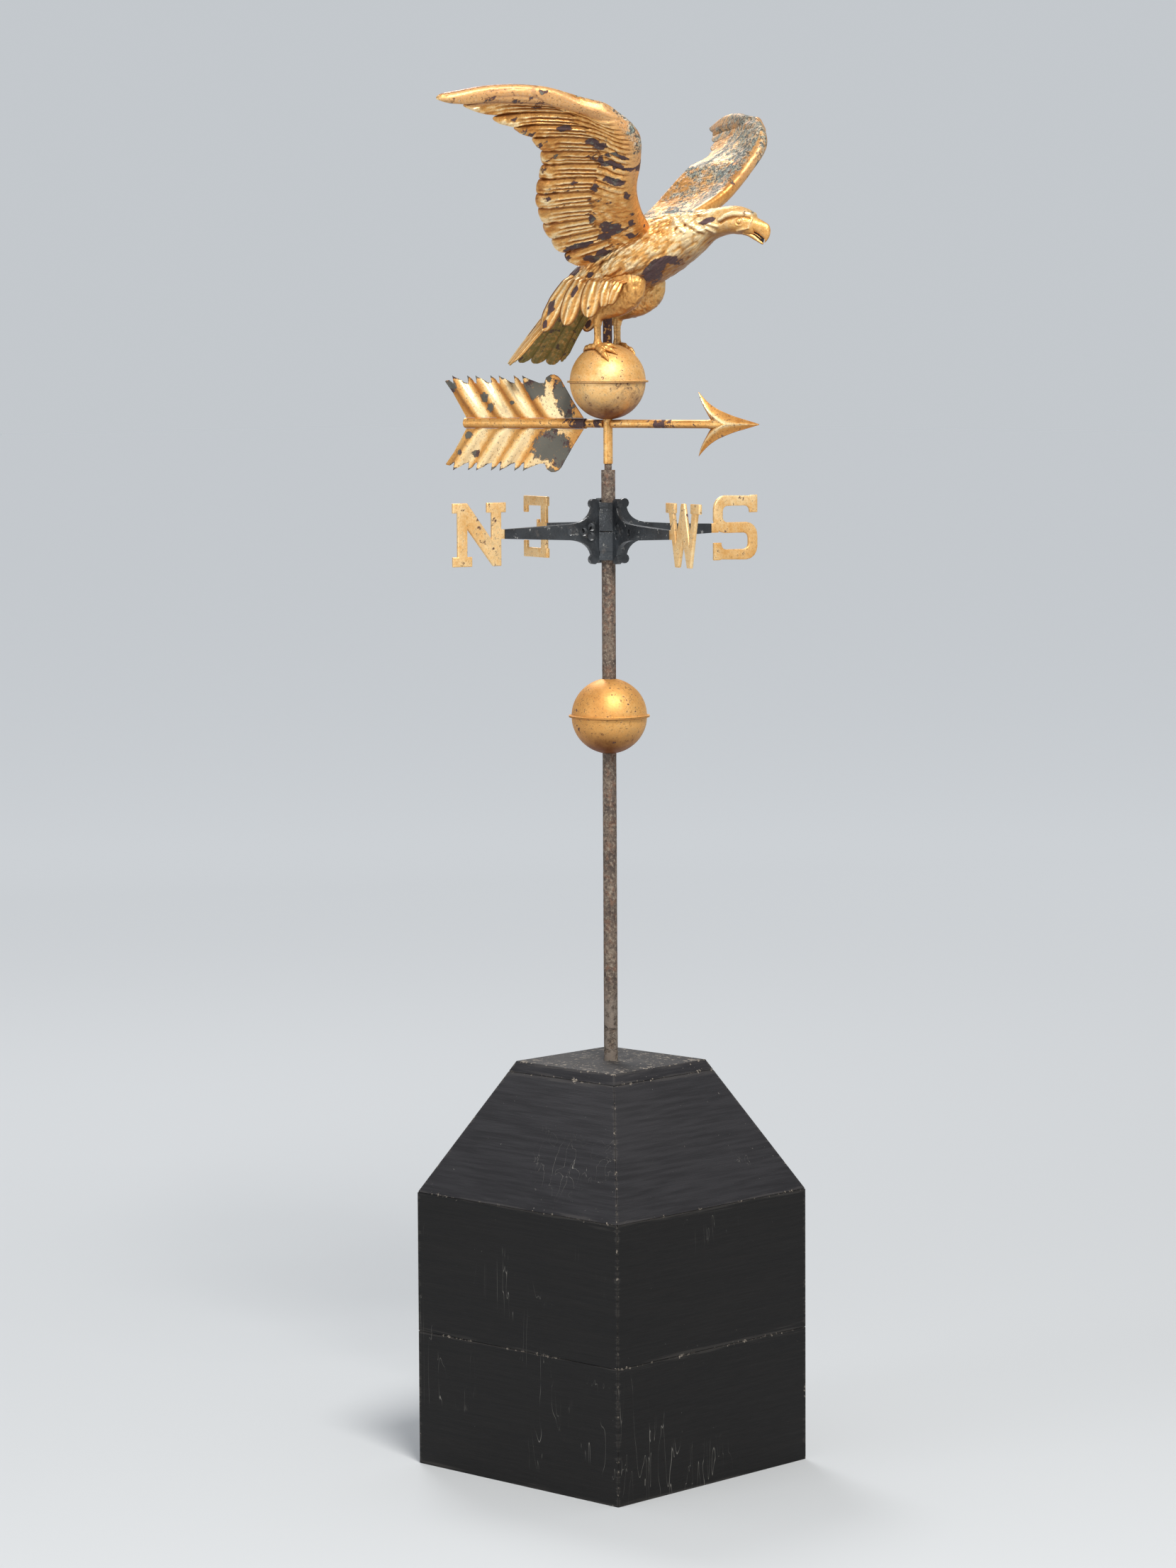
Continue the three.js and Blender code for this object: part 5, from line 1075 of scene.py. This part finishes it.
def thigh_surface(a, b):
    row = spline(THIGH, b) * EAGLE_LENGTH
    run = curve_run(THIGH, b, 0.02)
    ahead = unit(in_plane(-run[:, 2], run[:, 0]))
    turn = a * math.tau
    end = rounded_ends(b, 0.02)
    centre = np.stack([row[:, 0], -row[:, 1], row[:, 2] + PERCH], -1)
    points = pushed(centre, ahead, row[:, 3] * np.cos(turn) * end)
    points[:, 1] += row[:, 4] * np.sin(turn) * end
    return points, {}


def rod_surface(curve, radii):
    """A round limb along a curve; radii are pairs of a share of its length and a radius in millimetres."""
    at, size = zip(*radii)

    def place(a, b):
        centre = spline(curve, b)
        run = unit(curve_run(curve, b, 0.01))
        side = unit(np.cross(run, (0.13, 0.02, 0.99) if abs(run[0][2]) < 0.9 else (1.0, 0, 0)))
        top = np.cross(run, side)
        radius = np.interp(b, at, size) * MM * rounded_ends(b, 0.02)
        turn = a * math.tau
        points = pushed(pushed(centre, side, radius * np.cos(turn)), top, radius * np.sin(turn))
        return points, {}
    return place


def toe_curve(heading, length, steps=7):
    """A toe's middle line over the globe from the foot of the leg."""
    start = unit(np.array([0, -LEG_SPREAD, FOOT_RISE]))
    turn = math.radians(heading)
    aim = np.array([math.cos(turn), -math.sin(turn), 0])
    aim = unit(aim - start * aim.dot(start))
    arcs = np.linspace(0, length * MM / GLOBE_RADIUS, steps)
    lift = GLOBE_RADIUS + np.interp(np.linspace(0, 1, steps), *zip(*TOE_SWELLS)) * TOE_HEIGHT * MM
    over_globe = np.outer(np.cos(arcs), start) + np.outer(np.sin(arcs), aim)
    return over_globe * lift[:, None] + (0, 0, GLOBE_CENTRE)


def remeshed(bm, size):
    """Joins overlapping closed forms into one skin of small faces."""
    mesh = bpy.data.meshes.new("rough")
    bm.to_mesh(mesh)
    bm.free()
    holder = bpy.data.objects.new("rough", mesh)
    bpy.context.collection.objects.link(holder)
    modifier = holder.modifiers.new("join", "REMESH")
    modifier.mode = "VOXEL"
    modifier.voxel_size = size
    shown = holder.evaluated_get(bpy.context.evaluated_depsgraph_get())
    result = bpy.data.meshes.new_from_object(shown)
    joined = bmesh.new()
    joined.from_mesh(result)
    bpy.data.objects.remove(holder)
    bpy.data.meshes.remove(result)
    return joined


def leg(mirror):
    """A leg in one skin: thigh, shank and toes joined, then modelled, and kept off the globe."""
    foot = np.array([0, -LEG_SPREAD, GLOBE_CENTRE + FOOT_RISE + 3 * MM])
    ankle = np.array([-0.001 * EAGLE_LENGTH, -LEG_SPREAD, PERCH + 0.075 * EAGLE_LENGTH])
    shank = rod_surface([ankle, (ankle + foot) / 2, foot], SHANK)
    parts = [closed(skin(48, 60, thigh_surface)), closed(skin(24, 30, shank))]
    toe_radii = [(share, swell * TOE_RADIUS) for share, swell in TOE_SWELLS]
    for heading, length in TOES:
        parts.append(closed(skin(16, 40, rod_surface(toe_curve(heading, length), toe_radii))))
    bm = remeshed(merged(parts), LEG_FACE)
    for _ in range(3):
        bmesh.ops.smooth_vert(bm, verts=bm.verts, factor=0.5, use_axis_x=True, use_axis_y=True,
                              use_axis_z=True)
    points, normals = vertex_places(bm), vertex_normals(bm)
    share = (points[:, 2] - PERCH) / EAGLE_LENGTH
    thigh_part = ramp(share, 0.085, 0.12)
    squeezed = points * np.array([1.0, 1.0, 0.5])
    plumes = 1 - np.abs(lumps(squeezed, 6 * MM, 2, 15)) * 1.7
    rings = np.cos(share * EAGLE_LENGTH / (1.1 * MM)) * 0.12 * ramp(share, 0.02, 0.03) * (1 - thigh_part)
    shift = thigh_part * (plumes - 0.4) * 0.75 + rings + lumps(points, 4 * MM, 2, 16) * 0.12
    points = pushed(points, normals, shift * MM)
    centre = np.array([0, 0, GLOBE_CENTRE])
    radius = np.linalg.norm(points - centre, axis=1)
    clear = np.maximum(radius, GLOBE_RADIUS + SEAM_GAP)
    points = pushed(centre, points - centre, clear / radius)
    if mirror:
        points[:, 1] *= -1
    # Painted shade, with dirt, between the thigh's plumes
    dark = np.clip((0.5 - plumes) * thigh_part, 0, 1) * 0.6
    dressed(bm, on_vane(points), {"dirt_and_painted_shade": dark, "even": 0.7})
    bmesh.ops.recalc_face_normals(bm, faces=bm.faces)
    return bm


for side_name, mirror in SIDES:
    piece(f"{side_name}_leg_and_foot", leg(mirror), BODY_GILT, "vane", [f"{side_name}_leg"], sharp=80)


# Globes: spun halves with a flanged seam
def arc_points(radius, first, last, steps):
    """Points on a circle from one turn to another."""
    turns = [first + (last - first) * i / steps for i in range(steps + 1)]
    return [(radius * math.cos(turn), radius * math.sin(turn)) for turn in turns]


def globe_half(height, hole, upper):
    """A spun shell with its flange; the hole is the radius of its opening, in millimetres."""
    outer, edge, wall = GLOBE_RADIUS / MM, 58.5, 1.2
    inner, seam = outer - wall, SEAM_GAP / MM / 2
    brim = seam + wall
    profile = [(edge - 0.4, seam), (edge, seam + 0.3), (edge, brim - 0.3), (edge - 0.4, brim),
               (outer + 1.2, brim)]
    profile += arc_points(outer, math.asin(brim / outer) + 0.02, math.acos(hole / outer), 40)
    profile += arc_points(inner, math.acos(hole / inner), math.asin(seam / inner), 12)
    sign = 1 if upper else -1
    bm = lathe([(r, sign * z) for r, z in profile], 112, height)
    return rumple(bm, 26 * MM, 0.18 * MM, 2, 3 if upper else 9)


# Globes: name, height, radius of the holes in millimetres, finish and body
GLOBES = [("upper", GLOBE_CENTRE, 7.0, GLOBE_GILT, "vane"),
          ("lower", LOWER_GLOBE_CENTRE, 10.3, LOWER_GLOBE_GILT, "stand")]
for prefix, height, hole, finish, body in GLOBES:
    for half, upper in (("top", True), ("bottom", False)):
        piece(f"{prefix}_globe_{half}_shell", globe_half(height, hole, upper), finish, body,
              [f"{prefix}_globe_{half}_half"], sharp=35)


# Arrow: places along it and radii in millimetres
SLEEVE_FRONT, TAIL_END, NECK, SHAFT_START = -36.0, -240.5, 168.8, 7.1
SHAFT_RADIUS, SLEEVE_RADIUS, SLEEVE_BORE = 6.0, 7.5, 6.3
CUT_LENGTH = 6
# Bare stretches of the shafts: the middle and half the length, in millimetres along the arrow
SHAFT_PATCHES = [(90, 14), (-16, 6), (-46, 15)]


def along_arrow(profile, cuts=1):
    """A turned form on the arrow's axis, before the vane's turn, from (radius, place along) pairs."""
    bm = lathe(profile, 64)
    bmesh.ops.rotate(bm, verts=bm.verts, matrix=Matrix.Rotation(math.pi / 2, 3, "Y"))
    start, end = profile[0][1], profile[-1][1]
    for i in range(1, cuts):
        at = (start + (end - start) * i / cuts) * MM
        bmesh.ops.bisect_plane(bm, geom=bm.verts[:] + bm.edges[:] + bm.faces[:], plane_co=(at, 0, 0),
                               plane_no=(1, 0, 0))
    bmesh.ops.translate(bm, verts=bm.verts, vec=(0, 0, ARROW_AXIS))
    return bm


def rod(start, end, radius, bore=0.0):
    """A round bar or tube along the arrow, in millimetres, cut along its length to take the dents."""
    profile = [(bore, start), (radius - 0.5, start), (radius, start + 0.6), (radius, end - 0.6),
               (radius - 0.5, end), (bore, end)]
    bm = along_arrow(profile, int((end - start) // CUT_LENGTH))
    points = vertex_places(rumple(bm, 30 * MM, 0.12 * MM, 2, 4))
    worn = np.zeros(len(points))
    for middle, half in SHAFT_PATCHES:
        away = np.abs(points[:, 0] / MM - middle) / half + 0.5 * (points[:, 1] / MM + 2) / radius
        worn = np.maximum(worn, 0.85 - 0.6 * away)
    return dressed(bm, on_vane(points), {"worn": worn})


RODS = [("front_shaft_bar", "arrow_front_shaft", rod(SHAFT_START, NECK + 2, SHAFT_RADIUS)),
        ("rear_shaft_bar", "arrow_rear_shaft", rod(TAIL_END, -SHAFT_START, SHAFT_RADIUS)),
        ("fletching_tube", "fletching_sleeve", rod(TAIL_END, SLEEVE_FRONT, SLEEVE_RADIUS, SLEEVE_BORE))]
for name, node, bm in RODS:
    piece(name, bm, ARROW_GILT, "vane", [node], sharp=30)

# Arrow head: front edge, ridge and rear edge from the tip to the barb, along and up, in millimetres
HEAD_FRONT = np.array([
    (246.0, 0.6), (238.5, 2.7), (225.0, 6.3), (206.0, 11.4), (189.5, 17.2), (177.5, 22.4), (166.5, 29.2),
    (156.0, 38.2), (148.8, 45.5)])
HEAD_RIDGE = np.array([
    (245.0, 0), (236.5, 0), (221.5, 0), (206.0, 0), (192.5, 1.6), (177.0, 9.5), (166.0, 18.4),
    (156.5, 31.0), (148.9, 45.2)])
HEAD_REAR = np.array([
    (245.0, 0), (236.5, 0), (221.5, 0), (206.0, 0), (190.0, 0), (170.5, 5.0), (161.0, 17.5),
    (152.5, 33.0), (148.7, 45.3)])
# The head's half thickness along the ridge and at its edges, in millimetres, and the share of a face
# that lies behind the ridge
HEAD_THICKNESS = np.array([0.7, 2.0, 4.0, 5.6, 6.8, 6.4, 5.2, 3.4, 0.8])
HEAD_EDGE, REAR_SHARE = 0.5, 0.35
HEAD_STACK = np.concatenate([HEAD_FRONT, HEAD_RIDGE, HEAD_REAR, HEAD_THICKNESS[:, None]], axis=1)


def head_half(sign):
    """One barb: a runs from the tip to the barb's point, and b round its two faces by the front edge."""
    def place(a, b):
        across = 1 - np.abs(2 * b - 1)
        side = np.where(b > 0.5, 1.0, -1.0)
        row = spline(HEAD_STACK, a)
        front, ridge, rear, thick = row[:, 0:2], row[:, 2:4], row[:, 4:6], row[:, 6]
        rearward = np.clip(across / REAR_SHARE, 0, 1)[:, None]
        forward = np.clip((across - REAR_SHARE) / (1 - REAR_SHARE), 0, 1)[:, None]
        flat = np.where(forward > 0, ridge + (front - ridge) * forward, rear + (ridge - rear) * rearward)
        sinking = HEAD_THICKNESS.max() * (1 - ramp(a, 0.5, 0.66))
        boss = np.where(a < 0.5, thick, np.maximum(HEAD_EDGE, sinking))
        hollow = 1 - forward[:, 0]
        half = np.where(forward[:, 0] > 0, HEAD_EDGE + (thick - HEAD_EDGE) * hollow ** 1.25,
                        boss + (np.maximum(thick, HEAD_EDGE) - boss) * rearward[:, 0])
        shut = np.where(across > 0.5, dome((1 - across) / 0.02), 1)
        shut = shut * np.where(a > 0.5, dome(across / 0.03), 1)
        points = np.stack([flat[:, 0], side * half * shut, sign * flat[:, 1]], -1) * MM
        points[:, 1] += lumps(points, 12 * MM, 2, 6) * 0.12 * MM * side * shut
        points[:, 2] += ARROW_AXIS
        # Painted light and shade on the barbs: the rear faces towards the barbs darker, the ridge lighter and
        # the edges darker
        marks = {"dirt_and_painted_shade": (1 - rearward[:, 0]) * ramp(a, 0.5, 0.6) * 0.6,
                 "rubbed_and_painted_light": 1.3 * bell(across, REAR_SHARE, 0.2) - 0.6}
        return on_vane(points), marks
    return place


def capped(bm):
    """Closes the open end loops of a wrapped skin."""
    closed(bm)
    loops = [e for e in bm.edges if len(e.link_faces) == 1]
    bmesh.ops.holes_fill(bm, edges=loops, sides=0)
    bmesh.ops.recalc_face_normals(bm, faces=bm.faces)
    return bm


def head_neck():
    """The socket that takes the shaft, run out to a point between the barbs."""
    profile = [(0, 164.5), (6.5, 165), (6.9, 168), (7.0, 176), (6.7, 184), (5.4, 192), (2.6, 201), (0, 206)]
    bm = along_arrow(profile)
    return dressed(bm, on_vane(vertex_places(bm)), {})


head_parts = [capped(merged([skin(80, 72, head_half(sign)) for sign in (1, -1)])), head_neck()]
piece("arrow_head_casting", merged(head_parts), ARROW_GILT, "vane", ["arrow_head"], sharp=28)

# Fletching, upper 1 and lower -1: a corrugated sheet, its sizes in millimetres
FLETCH_HEIGHT, FLETCH_FOOT, FLETCH_FOLD, TEETH = 69.0, 7.8, 4.6, 7
# Bare patches: place along the arrow, height off it and half sizes in millimetres, and the lean
FLETCH_PATCHES = {
    1: [(-75, 37, 14, 27, -0.4), (-122, 50, 15, 16, 0), (-207, 37, 8, 8, 0), (-196, 22, 8, 7, 0),
        (-265, 54, 13, 10, 0), (-159, 30, 5, 3, 0), (-100, 64, 4, 6, 0), (-240, 66, 5, 5, 0)],
    -1: [(-94, 32, 31, 20, 0), (-77, 50, 18, 18, 0), (-234, 18, 7, 7, 0), (-223, 45, 6, 5, 0),
         (-249, 43, 5, 4, 0)],
}


def fletch_columns():
    """Columns from the front: rim place, rim height and root place, as shares, and half waves of folds."""
    columns = [(0.2, 0.8, 0.02, -0.3), (0.215, 0.92, 0.035, -0.22), (0.24, 0.985, 0.05, -0.15),
               (0.27, 1.02, 0.07, -0.08), (0.3, 1.02, 0.087, 0.0), (0.335, 0.96, 0.12, 0.15),
               (0.35, 0.84, 0.14, 0.25), (0.385, 0.84, 0.2, 0.4)]
    for i in range(TEETH):
        rim = 0.494 + i * 0.097
        columns += [(rim - 0.03, 0.93, rim - 0.22, i + 0.72), (rim, 0.975, rim - 0.2, i + 0.92),
                    (rim + 0.014, 1, rim - 0.19, i + 1), (rim + 0.008, 0.93, rim - 0.186, i + 1.04),
                    (rim + 0.004, 0.83, rim - 0.177, i + 1.14)]
        if i < TEETH - 1:
            columns.append((rim + 0.034, 0.855, rim - 0.15, i + 1.42))
    columns += [(1.1, 0.85, 0.915, TEETH + 0.4), (1.135, 0.905, 0.935, TEETH + 0.6),
                (1.169, 0.895, 0.965, TEETH + 0.8), (1.125, 0.76, 0.98, TEETH + 0.9),
                (1.1, 0.58, 0.99, TEETH + 1)]
    return np.array(columns)


def fletch_surface(sign):
    columns = fletch_columns()
    count = len(columns)

    def place(a, b):
        at = a * (count - 1)
        k = np.minimum(np.floor(at).astype(int), count - 2)
        w = at - k
        rim_x, rim_z, root = (np.interp(at, range(count), columns[:, i]) for i in range(3))
        phase = math.pi * (columns[k, 3] + (columns[k + 1, 3] - columns[k, 3]) * w)
        x = SLEEVE_FRONT - (root + (rim_x - root) * b) * (SLEEVE_FRONT - TAIL_END)
        z = FLETCH_FOOT + (rim_z * FLETCH_HEIGHT - FLETCH_FOOT) * b
        y = FLETCH_FOLD * np.cos(phase) * dome(b)
        points = np.stack([x * MM, y * MM, ARROW_AXIS + sign * z * MM], -1)
        points[:, 1] += lumps(points, 14 * MM, 2, 12) * 0.25 * MM
        worn = np.zeros(len(a))
        for at_x, at_z, half_x, half_z, lean in FLETCH_PATCHES[sign]:
            dx, dz = x - at_x - lean * (z - at_z), z - at_z
            worn = np.maximum(worn, patch_field(np.hypot(dx / half_x, dz / half_z)))
        tip_wear = ramp(b, 0.9, 1.0) * 0.5 + ramp(rim_z, 0.93, 1.0) * ramp(b, 0.86, 0.97) * 0.25
        # Painted light and shade on the folds: each flank lighter or darker as it turns towards the light or
        # away, the lower fin less, with painted shade along the fold lines
        marks = {"worn": np.maximum(worn, tip_wear),
                 "dirt_and_painted_shade": ramp(np.abs(np.cos(phase)), 0.8, 1) * 0.25,
                 "rubbed_and_painted_light": (1.0 if sign > 0 else 0.55) * np.sin(phase)}
        return on_vane(points), marks
    return place


for which, sign in (("upper", 1), ("lower", -1)):
    fin = sheet(skin((len(fletch_columns()) - 1) * 8, 30, fletch_surface(sign)), FLETCH_SHEET)
    piece(f"{which}_fletching_sheet", fin, FLETCHING_GILT, "vane", [f"fletching_{which}"], sharp=50)


# Vane tube, spindle and mast, their profiles in millimetres
TUBE_FOOT, TUBE_TOP = bottom_of("vane_tube") / MM, top_of("vane_tube") / MM
TUBE_RADIUS, TUBE_BORE = 6.7, 5.6
SPINDLE_FOOT, SPINDLE_TOP = bottom_of("spindle_rod") / MM, top_of("spindle_rod") / MM
SPINDLE_RADIUS, SPINDLE_POINT = 5.25, 9
MAST_FOOT = bottom_of("mast_pipe") / MM
MAST_RADIUS, MAST_BORE = 10, 7.2


def vane_sleeve():
    """The tube that turns on the spindle: gilt below the globe's top and bare above it."""
    levels = (TUBE_FOOT + 0.5, TUBE_FOOT + 40, PERCH / MM - 4, PERCH / MM, TUBE_TOP)
    outline = [(TUBE_BORE, TUBE_FOOT), (TUBE_RADIUS - 0.4, TUBE_FOOT)]
    outline += [(TUBE_RADIUS, level) for level in levels] + [(TUBE_BORE, TUBE_TOP)]
    bm = lathe(outline, 64)
    points = vertex_places(bm)
    return dressed(bm, points, {"worn": np.where(points[:, 2] > PERCH - 1 * MM, 0.78, 0.0)})


piece("vane_sleeve", vane_sleeve(), ARROW_GILT, "vane", ["vane_tube"], sharp=30)
spindle = lathe([(0, SPINDLE_FOOT), (SPINDLE_RADIUS, SPINDLE_FOOT),
                 (SPINDLE_RADIUS, SPINDLE_TOP - SPINDLE_POINT), (0, SPINDLE_TOP)], 48)
piece("spindle_bar", spindle, IRON, "stand", ["spindle_rod"], sharp=30)


def mast_pipe():
    """The pipe, with close rings above the cap to take its rust's unevenness."""
    levels = np.linspace(CAP_TOP / MM - 4, MAST_TOP / MM - 0.8, 280)
    profile = [(MAST_BORE, MAST_FOOT), (MAST_RADIUS, MAST_FOOT)] + [(MAST_RADIUS, z) for z in levels]
    profile += [(MAST_RADIUS - 0.4, MAST_TOP / MM), (MAST_BORE, MAST_TOP / MM)]
    return rumple(lathe(profile, 72), 5 * MM, 0.09 * MM, 3, 2)


piece("mast_pipe_rusted", mast_pipe(), IRON, "stand", ["mast_pipe"], sharp=40)


def softened_piece(node, ending, width, finish, segments=2):
    """A piece of the stand that is its node's solid with rounded edges."""
    made = softened(node, width, segments)
    piece(f"{node}_{ending}", made, finish, "stand", [node], sharp=30)


# Castings and letters
for name in ("hub_upper_collar", "hub_lower_collar", "arm_north", "arm_east", "arm_south", "arm_west"):
    softened_piece(name, "cast", 0.9, CASTING, 3)
for name in ("upper_set_screw", "lower_set_screw"):
    softened_piece(name, "cast", 0.4, CASTING)
for initial in "nesw":
    softened_piece(f"letter_{initial}", "cast", 0.5, LETTER_GILT)

# Display base
for name in sorted(nodes):
    if name.startswith("box_"):
        softened_piece(name, "stained", 0.8, BOX_WOOD)
    if name.startswith("cap_"):
        softened_piece(name, "stained", 1.0, CAP_WOOD)

# Solids that are shown as they are, with a finish
KEPT = {"base_floor_board": BOX_WOOD, "mast_floor_flange": CASTING, "mast_top_bush": IRON,
        "bearing_cup": STEEL}
KEPT.update({name: STEEL for name in nodes if name.startswith("flange_screw")})
for name, material in KEPT.items():
    mesh = nodes[name].data
    mesh.materials.clear()
    mesh.materials.append(material)


# Floor, light and camera
def floor_paint():
    """Plain pale paint, a little lighter far off, where less of the lamps' light falls."""
    f = Finish("floor_paint")
    x, y, z = f.axes()
    away = (x * x + y * y) ** 0.5
    colour = f.blend(away.rise(0.5, 9.0), tone(196, 199, 202), tone(244, 246, 248))
    glow = f.blend(away.rise(0.8, 9.0), (0.0, 0.0, 0.0, 1.0), (0.155, 0.165, 0.172, 1.0))
    return f.wear(Base_Color=colour, Roughness=0.9, Specular_IOR_Level=0.1, Emission_Color=glow,
                  Emission_Strength=1.0)


FLOOR_HALF = 60.0
bm = bmesh.new()
bmesh.ops.create_grid(bm, x_segments=1, y_segments=1, size=FLOOR_HALF)
floor_mesh = bpy.data.meshes.new("floor")
bm.to_mesh(floor_mesh)
bm.free()
floor_mesh.materials.append(floor_paint())
floor = bpy.data.objects.new("floor", floor_mesh)
bpy.context.collection.objects.link(floor)

world = bpy.data.worlds.new("studio")
bpy.context.scene.world = world
world.use_nodes = True
world_tree = world.node_tree
background = world_tree.nodes["Background"]
background.inputs["Color"].default_value = tone(240, 243, 247)
background.inputs["Strength"].default_value = 0.5
# The camera sees the backdrop's own pale grey
seen = world_tree.nodes.new("ShaderNodeBackground")
seen.inputs["Color"].default_value = tone(195.7, 200.2, 204.7)
path_node = world_tree.nodes.new("ShaderNodeLightPath")
chooser = world_tree.nodes.new("ShaderNodeMixShader")
for index, output in enumerate((path_node.outputs["Is Camera Ray"], background.outputs[0], seen.outputs[0])):
    world_tree.links.new(output, chooser.inputs[index])
world_tree.links.new(chooser.outputs[0], world_tree.nodes["World Output"].inputs[0])


def area_lamp(name, place, target, size, energy, colour=(1, 1, 1)):
    data = bpy.data.lights.new(name, "AREA")
    data.shape = "DISK"
    data.size = size
    data.energy = energy
    data.color = colour
    lamp = bpy.data.objects.new(name, data)
    bpy.context.collection.objects.link(lamp)
    lamp.location = place
    lamp.rotation_euler = (Vector(target) - Vector(place)).to_track_quat("-Z", "Y").to_euler()


PHOTO_TURN = math.radians(43.5)


def in_photo(right, away, height):
    """A place from the photograph's own directions: to its right, away from the camera, and up."""
    c, s = math.cos(PHOTO_TURN), math.sin(PHOTO_TURN)
    return (right * c - away * s, right * s + away * c, height)


area_lamp("key", in_photo(0.9, -3.2, 5.0), (0, 0, 1.6), 1.7, 300, (1.0, 0.97, 0.92))
area_lamp("fill", in_photo(-4.5, -3.5, 2.0), (0, 0, 1.4), 2.4, 60, (0.94, 0.97, 1.0))
area_lamp("rim", in_photo(-1.0, 3.5, 4.6), (0, 0, 1.7), 1.6, 90)

# Camera from the fit to the photograph: place, pitch, roll and yaw
CAMERA_AWAY, CAMERA_HEIGHT = -6.8936, 1.6398
PITCH, ROLL, YAW = (math.radians(v) for v in (5.34, -0.30, -0.26))
FOCAL_PIXELS, PHOTO_HEIGHT, SENSOR = 6760.0, 2212.0, 36.0
ahead = Vector((math.sin(YAW) * math.cos(PITCH), math.cos(YAW) * math.cos(PITCH), -math.sin(PITCH)))
level = Vector((math.cos(YAW), -math.sin(YAW), 0))
above = level.cross(ahead)
right = level * math.cos(ROLL) + above * math.sin(ROLL)
top = above * math.cos(ROLL) - level * math.sin(ROLL)
camera_data = bpy.data.cameras.new("camera")
camera_data.sensor_width = SENSOR
camera_data.lens = SENSOR * FOCAL_PIXELS / PHOTO_HEIGHT
camera_data.clip_end = 200.0
camera = bpy.data.objects.new("camera", camera_data)
bpy.context.collection.objects.link(camera)
turn = Matrix.Rotation(PHOTO_TURN, 3, "Z")
axes = Matrix((turn @ right, turn @ top, -(turn @ ahead))).transposed()
camera.matrix_world = Matrix.Translation(in_photo(0, CAMERA_AWAY, CAMERA_HEIGHT)) @ axes.to_4x4()
scene = bpy.context.scene
scene.camera = camera
scene.view_settings.view_transform = "Standard"
